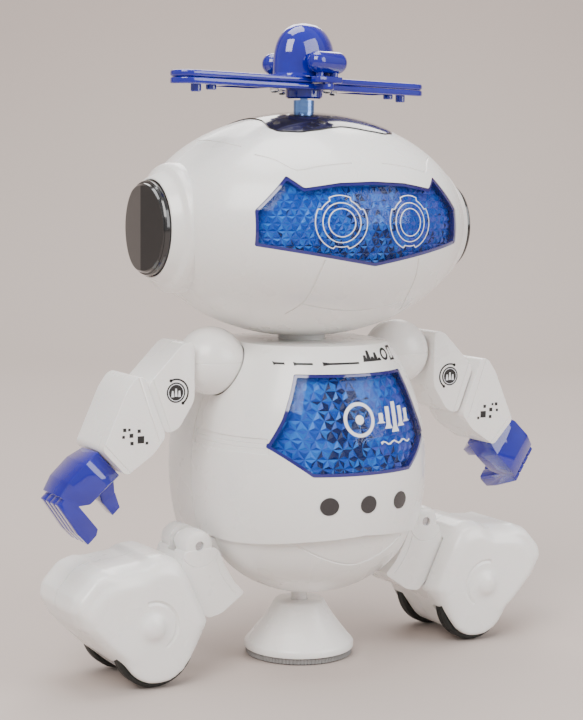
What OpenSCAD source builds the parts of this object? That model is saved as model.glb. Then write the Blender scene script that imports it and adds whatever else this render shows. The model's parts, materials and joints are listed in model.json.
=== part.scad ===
// Toy robot that spins on a central stand. Millimetres, +Z up, the face looks along -Y.
// The origin is the centre of the stand's underside, on the spin axis.

/* [Head] */
// Half width of the head shell
head_rx = 57; // [52:0.5:60]
// Half depth of the head shell
head_ry = 48.5; // [45:0.5:52]
// Half height of the head shell
head_rz = 37.5; // [34:0.5:40]
// Wall of the head shells
head_wall = 2; // [1.6:0.1:2.6]
// Radius of the ear caps
ear_r = 14.9; // [12:0.1:16.5]
// How far the ear housings stand out of the head's width
ear_out = 3.4; // [2.5:0.1:5]
// Half width of the visor window
visor_hw = 37.9; // [32:0.1:40]
// Height of the visor window at its side
visor_h = 11.1; // [8:0.1:13]

/* [Rotor] */
// Length of one blade from the spin axis
blade_len = 57.8; // [45:0.2:65]
// Thickness of a blade
blade_t = 4.4; // [3.6:0.1:6]
// Width of a blade
blade_w = 11; // [8:0.5:14]
// Radius of the shaft under the rotor
post_r = 3.5; // [3:0.1:4.5]
// Radius of the steel pin that the rotor turns on
pin_r = 1.3; // [1:0.1:1.8]
// Height of the dome over the blades
dome_h = 18.2; // [14:0.2:22]

/* [Torso] */
// Half width of the torso
torso_hw = 38.8; // [36:0.2:41]
// Top of the torso
torso_top = 109; // [107:0.5:110]
// Wall of the torso shells
torso_wall = 2; // [1.6:0.1:2.6]
// Where the seam between the front and rear shells lies
seam_y = 5; // [3:0.5:5]
// Radius of the neck post
neck_r = 8; // [6.5:0.1:9]
// Radius of the shoulder ball
ball_r = 11.3; // [10:0.1:12]
// Radius of the belly studs
stud_r = 2.9; // [2:0.1:3.5]

/* [Drive] */
// Tooth size of the gears
gear_module = 0.8; // [0.7:0.05:0.8]
// Teeth of the motor pinion
pinion_teeth = 10; // [9:1:11]
// Teeth of the idler gear
idler_teeth = 20; // [18:1:22]
// Teeth of the output gear
output_teeth = 36; // [32:1:36]
// Width of the gear teeth
gear_w = 4; // [3:0.5:5]
// Radius of the drive shaft
shaft_r = 2.8; // [2.4:0.1:3.2]
// Radius of the motor can
motor_r = 9; // [8:0.5:10]
// Length of the motor can
motor_len = 25; // [18:1:28]

/* [Base] */
// Radius of the base rim
base_r = 18.9; // [16:0.1:22]
// Height of the base cone
base_h = 18.5; // [16:0.5:19.5]
// Thickness of the grip pad
pad_t = 1.6; // [1.2:0.1:2]

/* [Batteries] */
// Diameter of a battery cell
cell_d = 14; // [10:0.5:14.5]
// Length of a battery cell
cell_len = 49.2; // [43:0.2:49.6]

/* [Limbs] */
// Thickness of an upper arm, front to back
upper_arm_t = 18; // [14:0.5:20]
// Thickness of a forearm, front to back
forearm_t = 22; // [18:0.5:24]
// Thickness of a thigh, front to back
thigh_t = 20; // [16:0.5:22]
// Thickness of a boot, front to back
boot_t = 37; // [35:0.5:40]
// Radius of the wheels
wheel_r = 14; // [13:0.2:14.6]
// Width of a wheel
wheel_w = 5; // [4:0.2:5.4]
// Distance between the two wheels of a boot
wheel_gap = 25; // [24:0.5:26]
// Radius of the axles
axle_r = 1.5; // [1.2:0.1:2]

/* [Fits] */
// Radial clearance of a shaft that turns in a bore
run_fit = 0.05; // [0.02:0.01:0.09]
// Gap between pieces that are fixed to each other
seat = 0.1; // [0.05:0.05:0.2]
// Gap between faces that move past each other
swing = 0.4; // [0.3:0.05:0.6]

/* [Hidden] */

round_fn = 48;
eps = 0.01;
far = 200;

// Head
head_gap = 2;
head_floor = torso_top + head_gap;
head_z = 110 + head_rz;
head_floor_t = 2;
lens_t = 2;
visor_z = 149.5;
plate_t = 1.5;
plate_proud = 0.4;
ear_z = head_z - 0.7;
ear_x = head_rx + ear_out;
ear_cap_t = 3.4;
ear_flare = 6.6;
ear_peg_r = 4;
boss_r = 5;
boss_frac = 0.86;
boss_ang = 40;
head_boss_x = boss_frac * (head_rx - head_wall) * cos(boss_ang);
head_boss_z = boss_frac * (head_rz - head_wall) * sin(boss_ang);
head_boss_y = 14;
screw_r = 1.2;
screw_head_r = 2.4;
screw_head_t = 1.6;
board_t = 1.4;
eye_board_y = -32;
eye_x = 12.75;

// Rotor
rotor_turn = 15.2;
rotor_z = 192.4;
post_foot = head_z + head_rz - 8;
hub_r = 6.2;
hub_drop = 2.8;
dome_rx = 13;
dome_ry = 8.6;
pod_r = 3.65;
pod_len = 16.2;
pod_off = 10.6;
pod_z = rotor_z + 9;
rotor_post_top = rotor_z - hub_drop - swing;
pin_top = rotor_z + 8;

// Torso: an ellipsoid in front of its widest section, a flat-backed prism behind it
body_z = 66;
body_y = -7.4;
body_ry = 37;
body_rz = 56;
body_rx = torso_hw + 0.7;
lip_half = [[60, 42], [40, 44.4], [20, 46.9]];
lip_mid = 48.4;
lip_back = 46.9;
pelvis_z = 50;
pelvis_y = -6;
pelvis_rx = 36;
pelvis_ry = 33;
pelvis_rz = 27;
pelvis_foot = 23.3;
pelvis_back = 22;
flange_z = 45;

chest_z = 84;
chest_top = 16.6;
chest_side = -6.4;
chest_low = -15.6;
chest_board_y = -30.4;
dot_z = 58.9;
dot_x = 13.4;
stud_len = 5;
stud_proud = 0.25;

ball_x = 36.4;
ball_z = 103.2;
arm_y = -3;
socket_wall = 2;
shoulder_pin_r = 3;
shoulder_pin_in = 17;

// Drive
gear_z = 39.5;
plate_low = 36;
frame_t = 1.5;
plate_high = gear_z + gear_w + 1.5;
gear_play = 0.16;
idler_dist = gear_module * (output_teeth + idler_teeth) / 2;
pinion_dist = gear_module * (idler_teeth + pinion_teeth) / 2;
idler_ang = -45;
pinion_ang = 210;
idler_at = [idler_dist * cos(idler_ang), idler_dist * sin(idler_ang)];
pinion_at = idler_at + pinion_dist * [cos(pinion_ang), sin(pinion_ang)];
idler_pin_r = 1.2;
motor_shaft_r = 1;
shaft_top = plate_high + frame_t;
shaft_foot = base_h - 6;
frame_post_x = 17;
frame_post_y = -21;
frame_post_r = 3;

// Batteries and the back
rear_y = 23.8;
box_front = seam_y + 1;
cell_pitch = cell_d + 1.2;
cell_y = box_front + 1.2 + cell_d / 2 + 0.3;
box_low = 47.2;
box_hw = 1.5 * cell_pitch + 1.8;
cell_low = box_low + 2.2;
box_high = cell_low + cell_len + 4.4;
door_hw = 21;
door_low = 50.2;
door_high = box_high + 1.6;
door_t = 1.8;
door_screw_z = cell_low + cell_len + 2.7;
knob_x = 30;
knob_z = 73;
knob_hw = 2.4;
knob_hh = 1.9;
knob_travel = 4;
boss_x = torso_hw - 4.8;
boss_low_z = 62;
boss_high_z = 84;
torso_boss_r = 4;
speaker_r = 8;
speaker_z = 58.2;
speaker_y = -37;

// Arms
arm_start = 46.6;
elbow_at = [60.35, 89.2];
elbow_tilt = 21.5;
elbow_pin_r = 2.5;
elbow_pin_len = 13;
wrist_at = [75.7, 73.3];
wrist_tilt = 43.6;
wrist_peg_r = 3.2;
wrist_peg_len = 7;
edge_cut = 2.6;

// Legs
leg_y = -2;
hip_at = [44.6, 43.4];
knuckle_r = 5.2;
hip_pin_r = 1.6;
tongue_t = 4;
wheel_at = [62.5, wheel_r];
heel_r = wheel_r - 1.4;
well_gap = 0.6;
boot_inset = 4.4;

// The torso and pelvis moved in by an inset
module front_body(inset, fn = 64) {
    translate([0, body_y, body_z])
        scale([body_rx - inset, body_ry - inset, body_rz - inset]) sphere(1, $fn = fn);
}

module torso_body(inset) {
    intersection() {
        union() {
            intersection() {
                front_body(inset);
                in_front_of(body_y);
            }
            translate([0, body_y, body_z]) scale([body_rx - inset, 1, body_rz - inset])
                rotate([-90, 0, 0]) cylinder(h = rear_y - inset - body_y, r = 1, $fn = 96);
        }
        translate([-far / 2, -far / 2, 0]) cube([far, far, torso_top - inset]);
    }
}

module lip_outline(middle, drop) {
    polygon(concat([[0, middle - drop]],
        [for (i = [len(lip_half) - 1 : -1 : 0]) [lip_half[i][0], lip_half[i][1] - drop]],
        [[60, far], [-60, far]], [for (p = lip_half) [-p[0], p[1] - drop]]));
}

module above_lip(drop) {
    along_y(-far / 2, seam_y) lip_outline(lip_mid, drop);
    along_y(seam_y - eps, far / 2) lip_outline(lip_back, drop);
}

module pelvis_body(inset) {
    intersection() {
        translate([0, pelvis_y, pelvis_z])
            scale([pelvis_rx - inset, pelvis_ry - inset, pelvis_rz - inset]) sphere(1, $fn = 64);
        translate([-far / 2, pelvis_back - inset - far, 0]) cube([far, far, pelvis_z]);
    }
}

module along_y(y0, y1) {
    translate([0, y1, 0]) rotate([90, 0, 0]) linear_extrude(y1 - y0) children();
}

module rod_y(x, z, r, y0, y1) {
    translate([x, y0, z]) rotate([-90, 0, 0]) cylinder(h = y1 - y0, r = r, $fn = round_fn);
}

module mirror_copy() {
    children();
    mirror([1, 0, 0]) children();
}

module in_front_of(y) translate([-far / 2, y - far, -1]) cube([far, far, 2 * far]);
module behind(y) translate([-far / 2, y, -1]) cube([far, far, 2 * far]);

// ---- head ----
module head_body(inset, fn = 64) {
    translate([0, 0, head_z])
        scale([head_rx - inset, head_ry - inset, head_rz - inset]) sphere(1, $fn = fn);
}

function visor_outline(inset) = let (
    kx = 1 - inset / visor_hw, kz = 1 - inset / 13,
    half = [[visor_hw, -7.3], [visor_hw, visor_h - 7.3], [27.5 / 37.9 * visor_hw, 14.6],
            [23.3 / 37.9 * visor_hw, 10.8], [12 / 37.9 * visor_hw, 12.5]])
    [for (p = concat([[0, -13.8]], half, [[0, 13]],
        [for (i = [len(half) - 1 : -1 : 0]) [-half[i][0], half[i][1]]]))
        [p[0] * kx, visor_z + p[1] * kz]];

module visor_prism(inset) along_y(-far, -20) polygon(visor_outline(inset));

plate_half = [[9, -26], [16, -25.3], [21.8, -21.4], [23, -17], [21, -9], [20.4, 0],
              [21, 9], [23, 17], [21.8, 21.4], [16, 25.3], [9, 26]];
module plate_prism(grow) {
    k = 1 + grow / 23;
    translate([0, 0, head_z]) linear_extrude(far) polygon([for (p = concat([[0, -24.6]], plate_half,
        [[0, 24.6]], [for (i = [len(plate_half) - 1 : -1 : 0]) [-plate_half[i][0], plate_half[i][1]]]))
        [p[0] * k, p[1] * k]]);
}

module head_hollow() {
    difference() {
        head_body(0);
        intersection() {
            head_body(head_wall);
            translate([-far / 2, -far / 2, head_floor + head_floor_t]) cube([far, far, far]);
        }
        translate([-far / 2, -far / 2, head_floor - far]) cube([far, far, far]);
        difference() {
            plate_prism(0.15);
            head_body(plate_t - plate_proud + seat);
        }
        translate([0, 0, head_floor - 1]) cylinder(h = 6, r = neck_r + seat, $fn = round_fn);
        translate([0, 0, head_z]) cylinder(h = far, r = post_r + seat, $fn = round_fn);
        for (s = [-1, 1]) translate([s * head_rx * 0.75, 0, ear_z]) rotate([0, s * 90, 0])
            cylinder(h = head_rx, r = ear_peg_r + seat, $fn = round_fn);
    }
}

module head_bosses(y0, y1, hole) {
    for (sx = [-1, 1]) for (sz = [-1, 1]) intersection() {
        difference() {
            rod_y(sx * head_boss_x, head_z + sz * head_boss_z, boss_r, y0, y1);
            rod_y(sx * head_boss_x, head_z + sz * head_boss_z, hole, y0 - 1, y1 + 1);
        }
        head_body(head_wall / 2);
    }
}

module head_front_shell() {
    color("white") {
        difference() {
            head_hollow();
            behind(-seat / 2);
            visor_prism(0);
        }
        head_bosses(-head_boss_y, -seat / 2, screw_r + seat);
        for (dz = [-19.5, 20.5]) intersection() {
            rod_y(0, visor_z + dz, 2.4, -far / 2, eye_board_y);
            head_body(head_wall / 2);
        }
    }
}

module head_rear_shell() {
    color("white") difference() {
        union() {
            difference() {
                head_hollow();
                in_front_of(seat / 2);
            }
            head_bosses(seat / 2, 60, screw_r + seat);
        }
        for (sx = [-1, 1]) for (sz = [-1, 1])
            rod_y(sx * head_boss_x, head_z + sz * head_boss_z, screw_head_r + 0.3, 10, 60);
    }
}

module head_screws() {
    color("silver") for (sx = [-1, 1]) for (sz = [-1, 1]) {
        rod_y(sx * head_boss_x, head_z + sz * head_boss_z, screw_r, -8, 10 + eps);
        rod_y(sx * head_boss_x, head_z + sz * head_boss_z, screw_head_r, 10 + seat, 10 + seat + screw_head_t);
    }
}

module visor_lens() {
    color([0.1, 0.25, 0.8, 0.7]) intersection() {
        difference() {
            head_body(0.5);
            head_body(0.5 + lens_t);
        }
        visor_prism(seat);
    }
}

module visor_reflector() {
    color("royalblue") intersection() {
        difference() {
            head_body(0.6 + lens_t);
            head_body(1.4 + lens_t);
        }
        visor_prism(0.3);
    }
}

module eye_light_board() {
    color("darkgreen") {
        along_y(eye_board_y, eye_board_y + board_t) union() {
            translate([-26, visor_z - 8]) square([52, 16]);
            translate([-5, visor_z - 22]) square([10, 45]);
        }
        for (s = [-1, 1]) {
            rod_y(s * eye_x, visor_z, 2.5, eye_board_y - 3, eye_board_y + eps);
            translate([s * eye_x, eye_board_y - 3, visor_z]) sphere(2.5, $fn = 24);
        }
    }
}

module crown_plate() {
    color("black") difference() {
        intersection() {
            head_body(-plate_proud);
            plate_prism(0);
        }
        head_body(plate_t - plate_proud);
        translate([0, 0, head_z]) cylinder(h = far, r = post_r + seat, $fn = round_fn);
    }
}

// An ear housing is a turned ring that sits on the curved side of the head
module ear_housing() {
    color("white") difference() {
        translate([0, 0, ear_z]) rotate([0, 90, 0]) rotate_extrude($fn = 64)
            polygon([[0, head_rx * 0.78], [ear_r + ear_flare, head_rx * 0.78], [ear_r + ear_flare, 51],
                     [ear_r + ear_flare - 1.2, 52.2], [ear_r + 3.4, 53.6], [ear_r + 1, ear_x - ear_cap_t],
                     [0, ear_x - ear_cap_t]]);
        head_body(-seat, 200);
        translate([40, 0, ear_z]) rotate([0, 90, 0]) cylinder(h = 30, r = ear_peg_r + seat, $fn = round_fn);
    }
}
module ear_housings() mirror_copy() ear_housing();

module ear_cap() {
    color([0.12, 0.12, 0.13]) translate([ear_x - ear_cap_t + seat, 0, ear_z]) rotate([0, 90, 0]) {
        cylinder(h = 1.6, r = ear_r + 0.5, $fn = 64);
        rotate_extrude($fn = 64) polygon([[0, 1], [ear_r, 1], [ear_r, 2.2], [ear_r - 1.2, 2.9],
                                          [0, ear_cap_t - seat]]);
        translate([0, 0, -8]) cylinder(h = 9, r = ear_peg_r, $fn = round_fn);
    }
}
module ear_caps() mirror_copy() ear_cap();

module neck_post() {
    color("white") difference() {
        union() {
            translate([0, 0, torso_top - 5.2]) cylinder(h = 11, r = neck_r, $fn = round_fn);
            translate([0, 0, head_floor + head_floor_t + seat]) cylinder(h = 1.6, r = neck_r + 3, $fn = round_fn);
            translate([0, 0, torso_top - 4.2]) cylinder(h = 1.8, r = neck_r + 2.4, $fn = round_fn);
        }
        translate([0, 0, torso_top - 20]) cylinder(h = 60, r = neck_r - 2.4, $fn = round_fn);
    }
}

// ---- rotor ----
module rotor_place() translate([0, 0, rotor_z]) rotate([0, 0, rotor_turn]) children();

module rotor_post() {
    color([0.3, 0.5, 0.85]) union() {
        translate([0, 0, post_foot]) cylinder(h = rotor_post_top - post_foot, r = post_r, $fn = round_fn);
        translate([0, 0, post_foot - 1.6]) cylinder(h = 1.6 + eps, r = post_r + 2.2, $fn = round_fn);
        translate([0, 0, rotor_post_top - eps]) cylinder(h = pin_top - rotor_post_top, r = pin_r, $fn = round_fn);
    }
}

module blade_outline(inset) {
    for (s = [-1, 1]) {
        translate([s * (blade_len - blade_w / 2), 0]) circle(blade_w / 2 - inset, $fn = round_fn);
        polygon([[0, -hub_r - 1.5 + inset], [s * 16, -blade_w / 2 + inset],
                 [s * (blade_len - blade_w / 2), -blade_w / 2 + inset],
                 [s * (blade_len - blade_w / 2), blade_w / 2 - inset], [s * 16, blade_w / 2 - inset],
                 [0, hub_r + 1.5 - inset]]);
    }
    circle(hub_r + 1.5 - inset, $fn = round_fn);
}

module pod_posts() {
    for (s = [-1, 1]) translate([0, s * pod_off, 0]) circle(2.6, $fn = round_fn);
    translate([-2.6, -pod_off]) square([5.2, 2 * pod_off]);
}

module rotor_lower_shell() {
    color([0.12, 0.15, 0.6, 0.8]) rotor_place() difference() {
        union() {
            linear_extrude(blade_t / 2 - seat / 2) union() {
                blade_outline(0);
                pod_posts();
            }
            translate([0, 0, -hub_drop]) cylinder(h = hub_drop + eps, r = hub_r, $fn = round_fn);
            for (s = [-1, 1]) {
                translate([s * (blade_len - 9.1), 0, -2.2]) cylinder(h = 2.2 + eps, r = 1.7, $fn = 32);
                translate([s * (blade_len - 15.6), 0, -1.4]) cylinder(h = 1.4 + eps, r = 1.7, $fn = 32);
            }
        }
        translate([0, 0, -10]) cylinder(h = 30, r = pin_r + run_fit, $fn = round_fn);
        for (s = [-1, 1]) {
            translate([s * 14, 0, -5]) cylinder(h = 20, r = 0.9, $fn = 32);
            translate([0, s * pod_off, -5]) cylinder(h = 20, r = 0.9, $fn = 32);
        }
    }
}

module pod_body(grow) {
    for (s = [-1, 1]) translate([0, s * pod_off, pod_z - rotor_z]) rotate([0, 90, 0]) {
        translate([0, 0, -(pod_len / 2 - pod_r)]) cylinder(h = pod_len - 2 * pod_r, r = pod_r + grow, $fn = round_fn);
        for (e = [-1, 1]) translate([0, 0, e * (pod_len / 2 - pod_r)]) sphere(pod_r + grow, $fn = 40);
    }
}

module rotor_upper_shell() {
    color([0.1, 0.15, 0.7, 0.8]) rotor_place() difference() {
        union() {
            translate([0, 0, blade_t / 2]) linear_extrude(blade_t / 2) blade_outline(0);
            translate([0, 0, blade_t / 2]) linear_extrude(pod_z - rotor_z - blade_t / 2) pod_posts();
            translate([0, 0, blade_t - eps]) intersection() {
                scale([dome_rx, dome_ry, dome_h]) sphere(1, $fn = 48);
                translate([-20, -20, 0]) cube([40, 40, 40]);
            }
        }
        translate([0, 0, blade_t / 2 - eps]) cylinder(h = 6, r = pin_r + run_fit, $fn = round_fn);
        pod_body(seat / 2);
        for (s = [-1, 1]) translate([0, s * pod_off, 0]) cylinder(h = 6, r = 0.9, $fn = 32);
        for (s = [-1, 1]) translate([s * 14, 0, 0]) cylinder(h = 3.4, r = 0.9, $fn = 32);
    }
}

module rotor_pods() {
    color([0.1, 0.15, 0.7, 0.8]) rotor_place() pod_body(0);
}

module rotor_screws() {
    color("silver") rotor_place() for (p = [[14, 0], [-14, 0], [0, pod_off], [0, -pod_off]])
        translate([p[0], p[1], 0]) {
            translate([0, 0, -1.3]) cylinder(h = 1.3 - seat / 2, r = 1.5, $fn = 32);
            translate([0, 0, -0.6]) cylinder(h = 3.6, r = 0.8, $fn = 32);
        }
}

// ---- torso ----
function chest_outline(inset) = let (
    half = [[20, chest_top], [22.6, 10], [25.6, 2.5], [29.8, chest_side + 0.9], [30.2, chest_side],
            [18.4, chest_low]],
    kx = 1 - inset / 24, kz = 1 - inset / 16)
    [for (p = concat(half, [for (i = [len(half) - 1 : -1 : 0]) [-half[i][0], half[i][1]]]))
        [p[0] * kx, chest_z + p[1] * kz]];

module chest_prism(inset) along_y(-far / 2, -15) polygon(chest_outline(inset));

module torso_hollow() {
    difference() {
        union() {
            difference() {
                torso_body(0);
                torso_body(torso_wall);
            }
            intersection() {
                torso_body(torso_wall / 2);
                union() {
                    for (s = [-1, 1]) translate([s * ball_x, arm_y, ball_z])
                        sphere(ball_r + swing + socket_wall, $fn = 48);
                    for (sx = [-1, 1]) for (z = [boss_low_z, boss_high_z])
                        rod_y(sx * boss_x, z, torso_boss_r, -6, rear_y);
                }
            }
        }
        translate([-far / 2, -far / 2, lip_mid - far]) cube([far, far, far - 10]);
        difference() {
            translate([-far / 2, -far / 2, 30]) cube([far, far, 30]);
            above_lip(0);
        }
        for (s = [-1, 1]) {
            translate([s * ball_x, arm_y, ball_z]) sphere(ball_r + swing, $fn = 48);
            translate([s * ball_x, arm_y, ball_z]) rotate([0, 90, 0])
                translate([0, 0, -30]) cylinder(h = 60, r = shoulder_pin_r + run_fit, $fn = round_fn);
        }
        translate([0, 0, torso_top - 8]) cylinder(h = 20, r = neck_r + run_fit, $fn = round_fn);
        for (sx = [-1, 1]) for (z = [boss_low_z, boss_high_z])
            rod_y(sx * boss_x, z, screw_r + seat, -7, rear_y + 5);
    }
}

module torso_front_shell() {
    color("white") {
        difference() {
            torso_hollow();
            behind(seam_y - seat / 2);
            chest_prism(0);
            for (x = [-dot_x, 0, dot_x]) rod_y(x, dot_z, stud_r + seat, -60, -30);
        }
        intersection() {
            difference() {
                rod_y(0, speaker_z, speaker_r + 1.4, -60, speaker_y + 3);
                rod_y(0, speaker_z, speaker_r + seat, -60, speaker_y + 4);
            }
            front_body(torso_wall / 2);
        }
        for (s = [-1, 1]) intersection() {
            rod_y(s * 4.4, torso_top - 6.6, 1.8, -60, chest_board_y);
            front_body(torso_wall / 2);
        }
    }
}

module torso_rear_shell() {
    color("white") difference() {
        torso_hollow();
        in_front_of(seam_y + seat / 2);
        translate([-door_hw - 0.2, rear_y - 8, door_low - 0.2])
            cube([2 * door_hw + 0.4, 20, door_high - door_low + 0.4]);
        translate([knob_x - knob_hw - 0.3, rear_y - 8, knob_z - knob_hh - knob_travel / 2 - 0.3])
            cube([2 * knob_hw + 0.6, 20, 2 * knob_hh + knob_travel + 0.6]);
        for (sx = [-1, 1]) for (z = [boss_low_z, boss_high_z])
            rod_y(sx * boss_x, z, screw_head_r + 0.3, rear_y - 8, rear_y + 5);
    }
}

// Tongue that carries the hip pin, between the two cheeks of the thigh
module hip_tongue() {
    difference() {
        hull() {
            rod_y(hip_at[0], hip_at[1], 3.6, leg_y - tongue_t / 2, leg_y + tongue_t / 2);
            translate([30.5, leg_y - tongue_t / 2, 37.5]) cube([2, tongue_t, 4.6]);
        }
        rod_y(hip_at[0], hip_at[1], hip_pin_r + seat / 2, leg_y - 10, leg_y + 10);
    }
}

// Cup that closes the torso from below and carries the drive and the legs
module pelvis_shell() {
    color("white") {
        difference() {
            union() {
                intersection() {
                    pelvis_body(0);
                    difference() {
                        translate([-far / 2, -far / 2, pelvis_foot]) cube([far, far, far / 2]);
                        above_lip(seat);
                    }
                }
                intersection() {
                    torso_body(torso_wall + 3 * seat);
                    translate([-far / 2, -10, flange_z]) cube([far, far, box_low - 0.2 - flange_z]);
                }
            }
            difference() {
                pelvis_body(torso_wall);
                translate([0, 0, pelvis_foot]) cylinder(h = 10, r = shaft_r + 2.4, $fn = round_fn);
                for (s = [-1, 1]) translate([s * frame_post_x, frame_post_y, pelvis_foot])
                    cylinder(h = plate_low - pelvis_foot, r = frame_post_r, $fn = round_fn);
            }
            translate([0, 0, pelvis_foot - 1]) cylinder(h = 14, r = shaft_r + run_fit, $fn = round_fn);
        }
        mirror_copy() hip_tongue();
    }
}

module torso_screws() {
    color("silver") for (sx = [-1, 1]) for (z = [boss_low_z, boss_high_z]) {
        rod_y(sx * boss_x, z, screw_r, -3, rear_y - 8 + seat + eps);
        rod_y(sx * boss_x, z, screw_head_r, rear_y - 8 + seat, rear_y - 8 + seat + screw_head_t);
    }
}

module chest_lens() {
    color([0.1, 0.35, 0.9, 0.7]) intersection() {
        difference() {
            front_body(0.4);
            front_body(0.4 + lens_t);
        }
        chest_prism(seat);
    }
}

module chest_reflector() {
    color("royalblue") intersection() {
        difference() {
            front_body(0.6 + lens_t);
            front_body(1.4 + lens_t);
        }
        chest_prism(0.3);
    }
}

module chest_light_board() {
    color("darkgreen") {
        along_y(chest_board_y, chest_board_y + board_t) union() {
            translate([-15, 74]) square([30, 22]);
            translate([-7, 95]) square([14, 9]);
        }
        for (p = [[-8, 80], [8, 80], [0, 90]]) {
            rod_y(p[0], p[1], 2, chest_board_y - 2, chest_board_y + eps);
            translate([p[0], chest_board_y - 2, p[1]]) sphere(2, $fn = 24);
        }
    }
}

module belly_studs() {
    color("black") intersection() {
        for (x = [-dot_x, 0, dot_x]) rod_y(x, dot_z, stud_r, -60, -44.6 + stud_len);
        front_body(-stud_proud, 240);
    }
}

module main_board() {
    color("green") {
        along_y(0.6, 0.6 + board_t) translate([-22, 66]) square([44, 36]);
        translate([-6, -1.2, 80]) cube([12, 1.8 + eps, 12]);
        translate([-18, -3.4, 70]) cube([8, 4 + eps, 6]);
        rod_y(14, 74, 2.5, -5.4, 0.6 + eps);
    }
}

module speaker() {
    color("dimgray") {
        rod_y(0, speaker_z, speaker_r, speaker_y, speaker_y + 2.5);
        rod_y(0, speaker_z, 5, speaker_y + 2.5 - eps, speaker_y + 5);
    }
}

// Open tray for the cells, with stand-offs in front for the main board
module battery_box() {
    color("gainsboro") {
        difference() {
            translate([-box_hw, box_front, box_low]) cube([2 * box_hw, 15, box_high - box_low]);
            for (k = [-1 : 1]) hull() {
                for (y = [cell_y, cell_y + 20])
                    translate([k * cell_pitch, y, cell_low - 1.6])
                        cylinder(h = cell_len + 2.6, r = cell_d / 2 + 0.3, $fn = 32);
            }
            rod_y(0, door_screw_z, screw_r + 0.05, box_front + 4, 40);
        }
        for (sx = [-1, 1]) for (z = [70, 98]) rod_y(sx * 18, z, 1.8, 0.6 + board_t, box_front + eps);
    }
}

module battery_cells() {
    color("goldenrod") for (k = [-1 : 1]) translate([k * cell_pitch, cell_y, cell_low]) {
        cylinder(h = cell_len - 1, r = cell_d / 2, $fn = round_fn);
        cylinder(h = cell_len, r = 2.6, $fn = round_fn);
    }
}

module battery_contacts() {
    color("silver") for (k = [-1 : 1]) translate([k * cell_pitch, cell_y, 0]) {
        translate([-4, -4, cell_low - 1.5]) cube([8, 8, 0.5]);
        translate([0, 0, cell_low - 1 - eps]) cylinder(h = 0.9, r1 = 3.5, r2 = 2, $fn = round_fn);
        translate([-4, -4, cell_low + cell_len + 0.2]) cube([8, 8, 0.5]);
    }
}

module battery_door() {
    color("white") {
        difference() {
            translate([-door_hw, rear_y - door_t, door_low]) cube([2 * door_hw, door_t - 0.1, door_high - door_low]);
            rod_y(0, door_screw_z, screw_head_r + 0.3, rear_y - 1, rear_y + 2);
            rod_y(0, door_screw_z, screw_r + seat, rear_y - 5, rear_y + 2);
            for (k = [0 : 3]) translate([-9, rear_y - 0.7, door_low + 5 + 2.2 * k]) cube([18, 2, 1]);
        }
    }
}

module door_screw() {
    color("silver") {
        rod_y(0, door_screw_z, screw_head_r, rear_y - 1 + seat / 2, rear_y - 0.2);
        rod_y(0, door_screw_z, screw_r, rear_y - door_t - 8, rear_y - 0.9);
    }
}

module switch_knob() {
    color([0.1, 0.15, 0.5]) translate([knob_x, 0, knob_z]) {
        translate([-knob_hw, rear_y - 3, -knob_hh]) cube([2 * knob_hw, 4, 2 * knob_hh]);
        translate([-knob_hw - 1.4, rear_y - 3.6, -knob_hh - 2.4])
            cube([2 * knob_hw + 2.8, 1.2 + eps, 2 * knob_hh + 4.8]);
    }
}

// ---- drive ----
function inv_deg(x) = (tan(x) - x * PI / 180) * 180 / PI;

// Outline of an involute gear whose first tooth points along +X
function gear_outline(teeth) = let (
    rp = gear_module * teeth / 2, rb = rp * cos(20), ra = rp + gear_module,
    rr = rp - 1.25 * gear_module,
    half = 90 / teeth - gear_play / rp * 90 / PI + inv_deg(20),
    rs = [for (k = [0 : 4]) max(rb, rr) + (ra - max(rb, rr)) * k / 4],
    flank = [for (r = rs) [r, half - inv_deg(acos(min(1, rb / r)))]])
    [for (t = [0 : teeth - 1]) each concat(
        [[rr, -half]], [for (f = flank) [f[0], -f[1]]],
        [for (k = [4 : -1 : 0]) flank[k]], [[rr, half]]) + [for (k = [0 : 11]) [0, 360 * t / teeth]]];

module gear(teeth, phase) {
    linear_extrude(gear_w) polygon([for (p = gear_outline(teeth)) p[0] * [cos(p[1] + phase), sin(p[1] + phase)]]);
}

// Turns that put a tooth of one gear into a gap of the next
idler_phase = 180 + idler_ang + 180 / idler_teeth + (idler_ang - 0) * output_teeth / idler_teeth;
pinion_phase = 180 + pinion_ang + 180 / pinion_teeth + (pinion_ang - idler_phase) * idler_teeth / pinion_teeth;

module output_gear() {
    color("ivory") translate([0, 0, gear_z]) difference() {
        union() {
            gear(output_teeth, 0);
            translate([0, 0, -1.2]) cylinder(h = gear_w + 2.4, r = shaft_r + 2, $fn = round_fn);
        }
        translate([0, 0, -3]) cylinder(h = gear_w + 6, r = shaft_r + 0.02, $fn = round_fn);
    }
}

module idler_gear() {
    color("ivory") translate([idler_at[0], idler_at[1], gear_z]) difference() {
        gear(idler_teeth, idler_phase);
        translate([0, 0, -1]) cylinder(h = gear_w + 2, r = idler_pin_r + run_fit, $fn = round_fn);
    }
}

module motor_pinion() {
    color("goldenrod") translate([pinion_at[0], pinion_at[1], 0]) {
        translate([0, 0, gear_z]) gear(pinion_teeth, pinion_phase);
        translate([0, 0, gear_z - 1]) cylinder(h = shaft_top - gear_z + 6, r = motor_shaft_r, $fn = round_fn);
    }
}

module frame_plate_outline() {
    hull() {
        circle(8, $fn = 32);
        translate(idler_at) circle(4, $fn = 32);
        translate([25, -8]) circle(2.2, $fn = 32);
        translate([frame_post_x, frame_post_y]) circle(frame_post_r, $fn = 32);
        translate([-frame_post_x, frame_post_y]) circle(frame_post_r, $fn = 32);
    }
}

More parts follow.
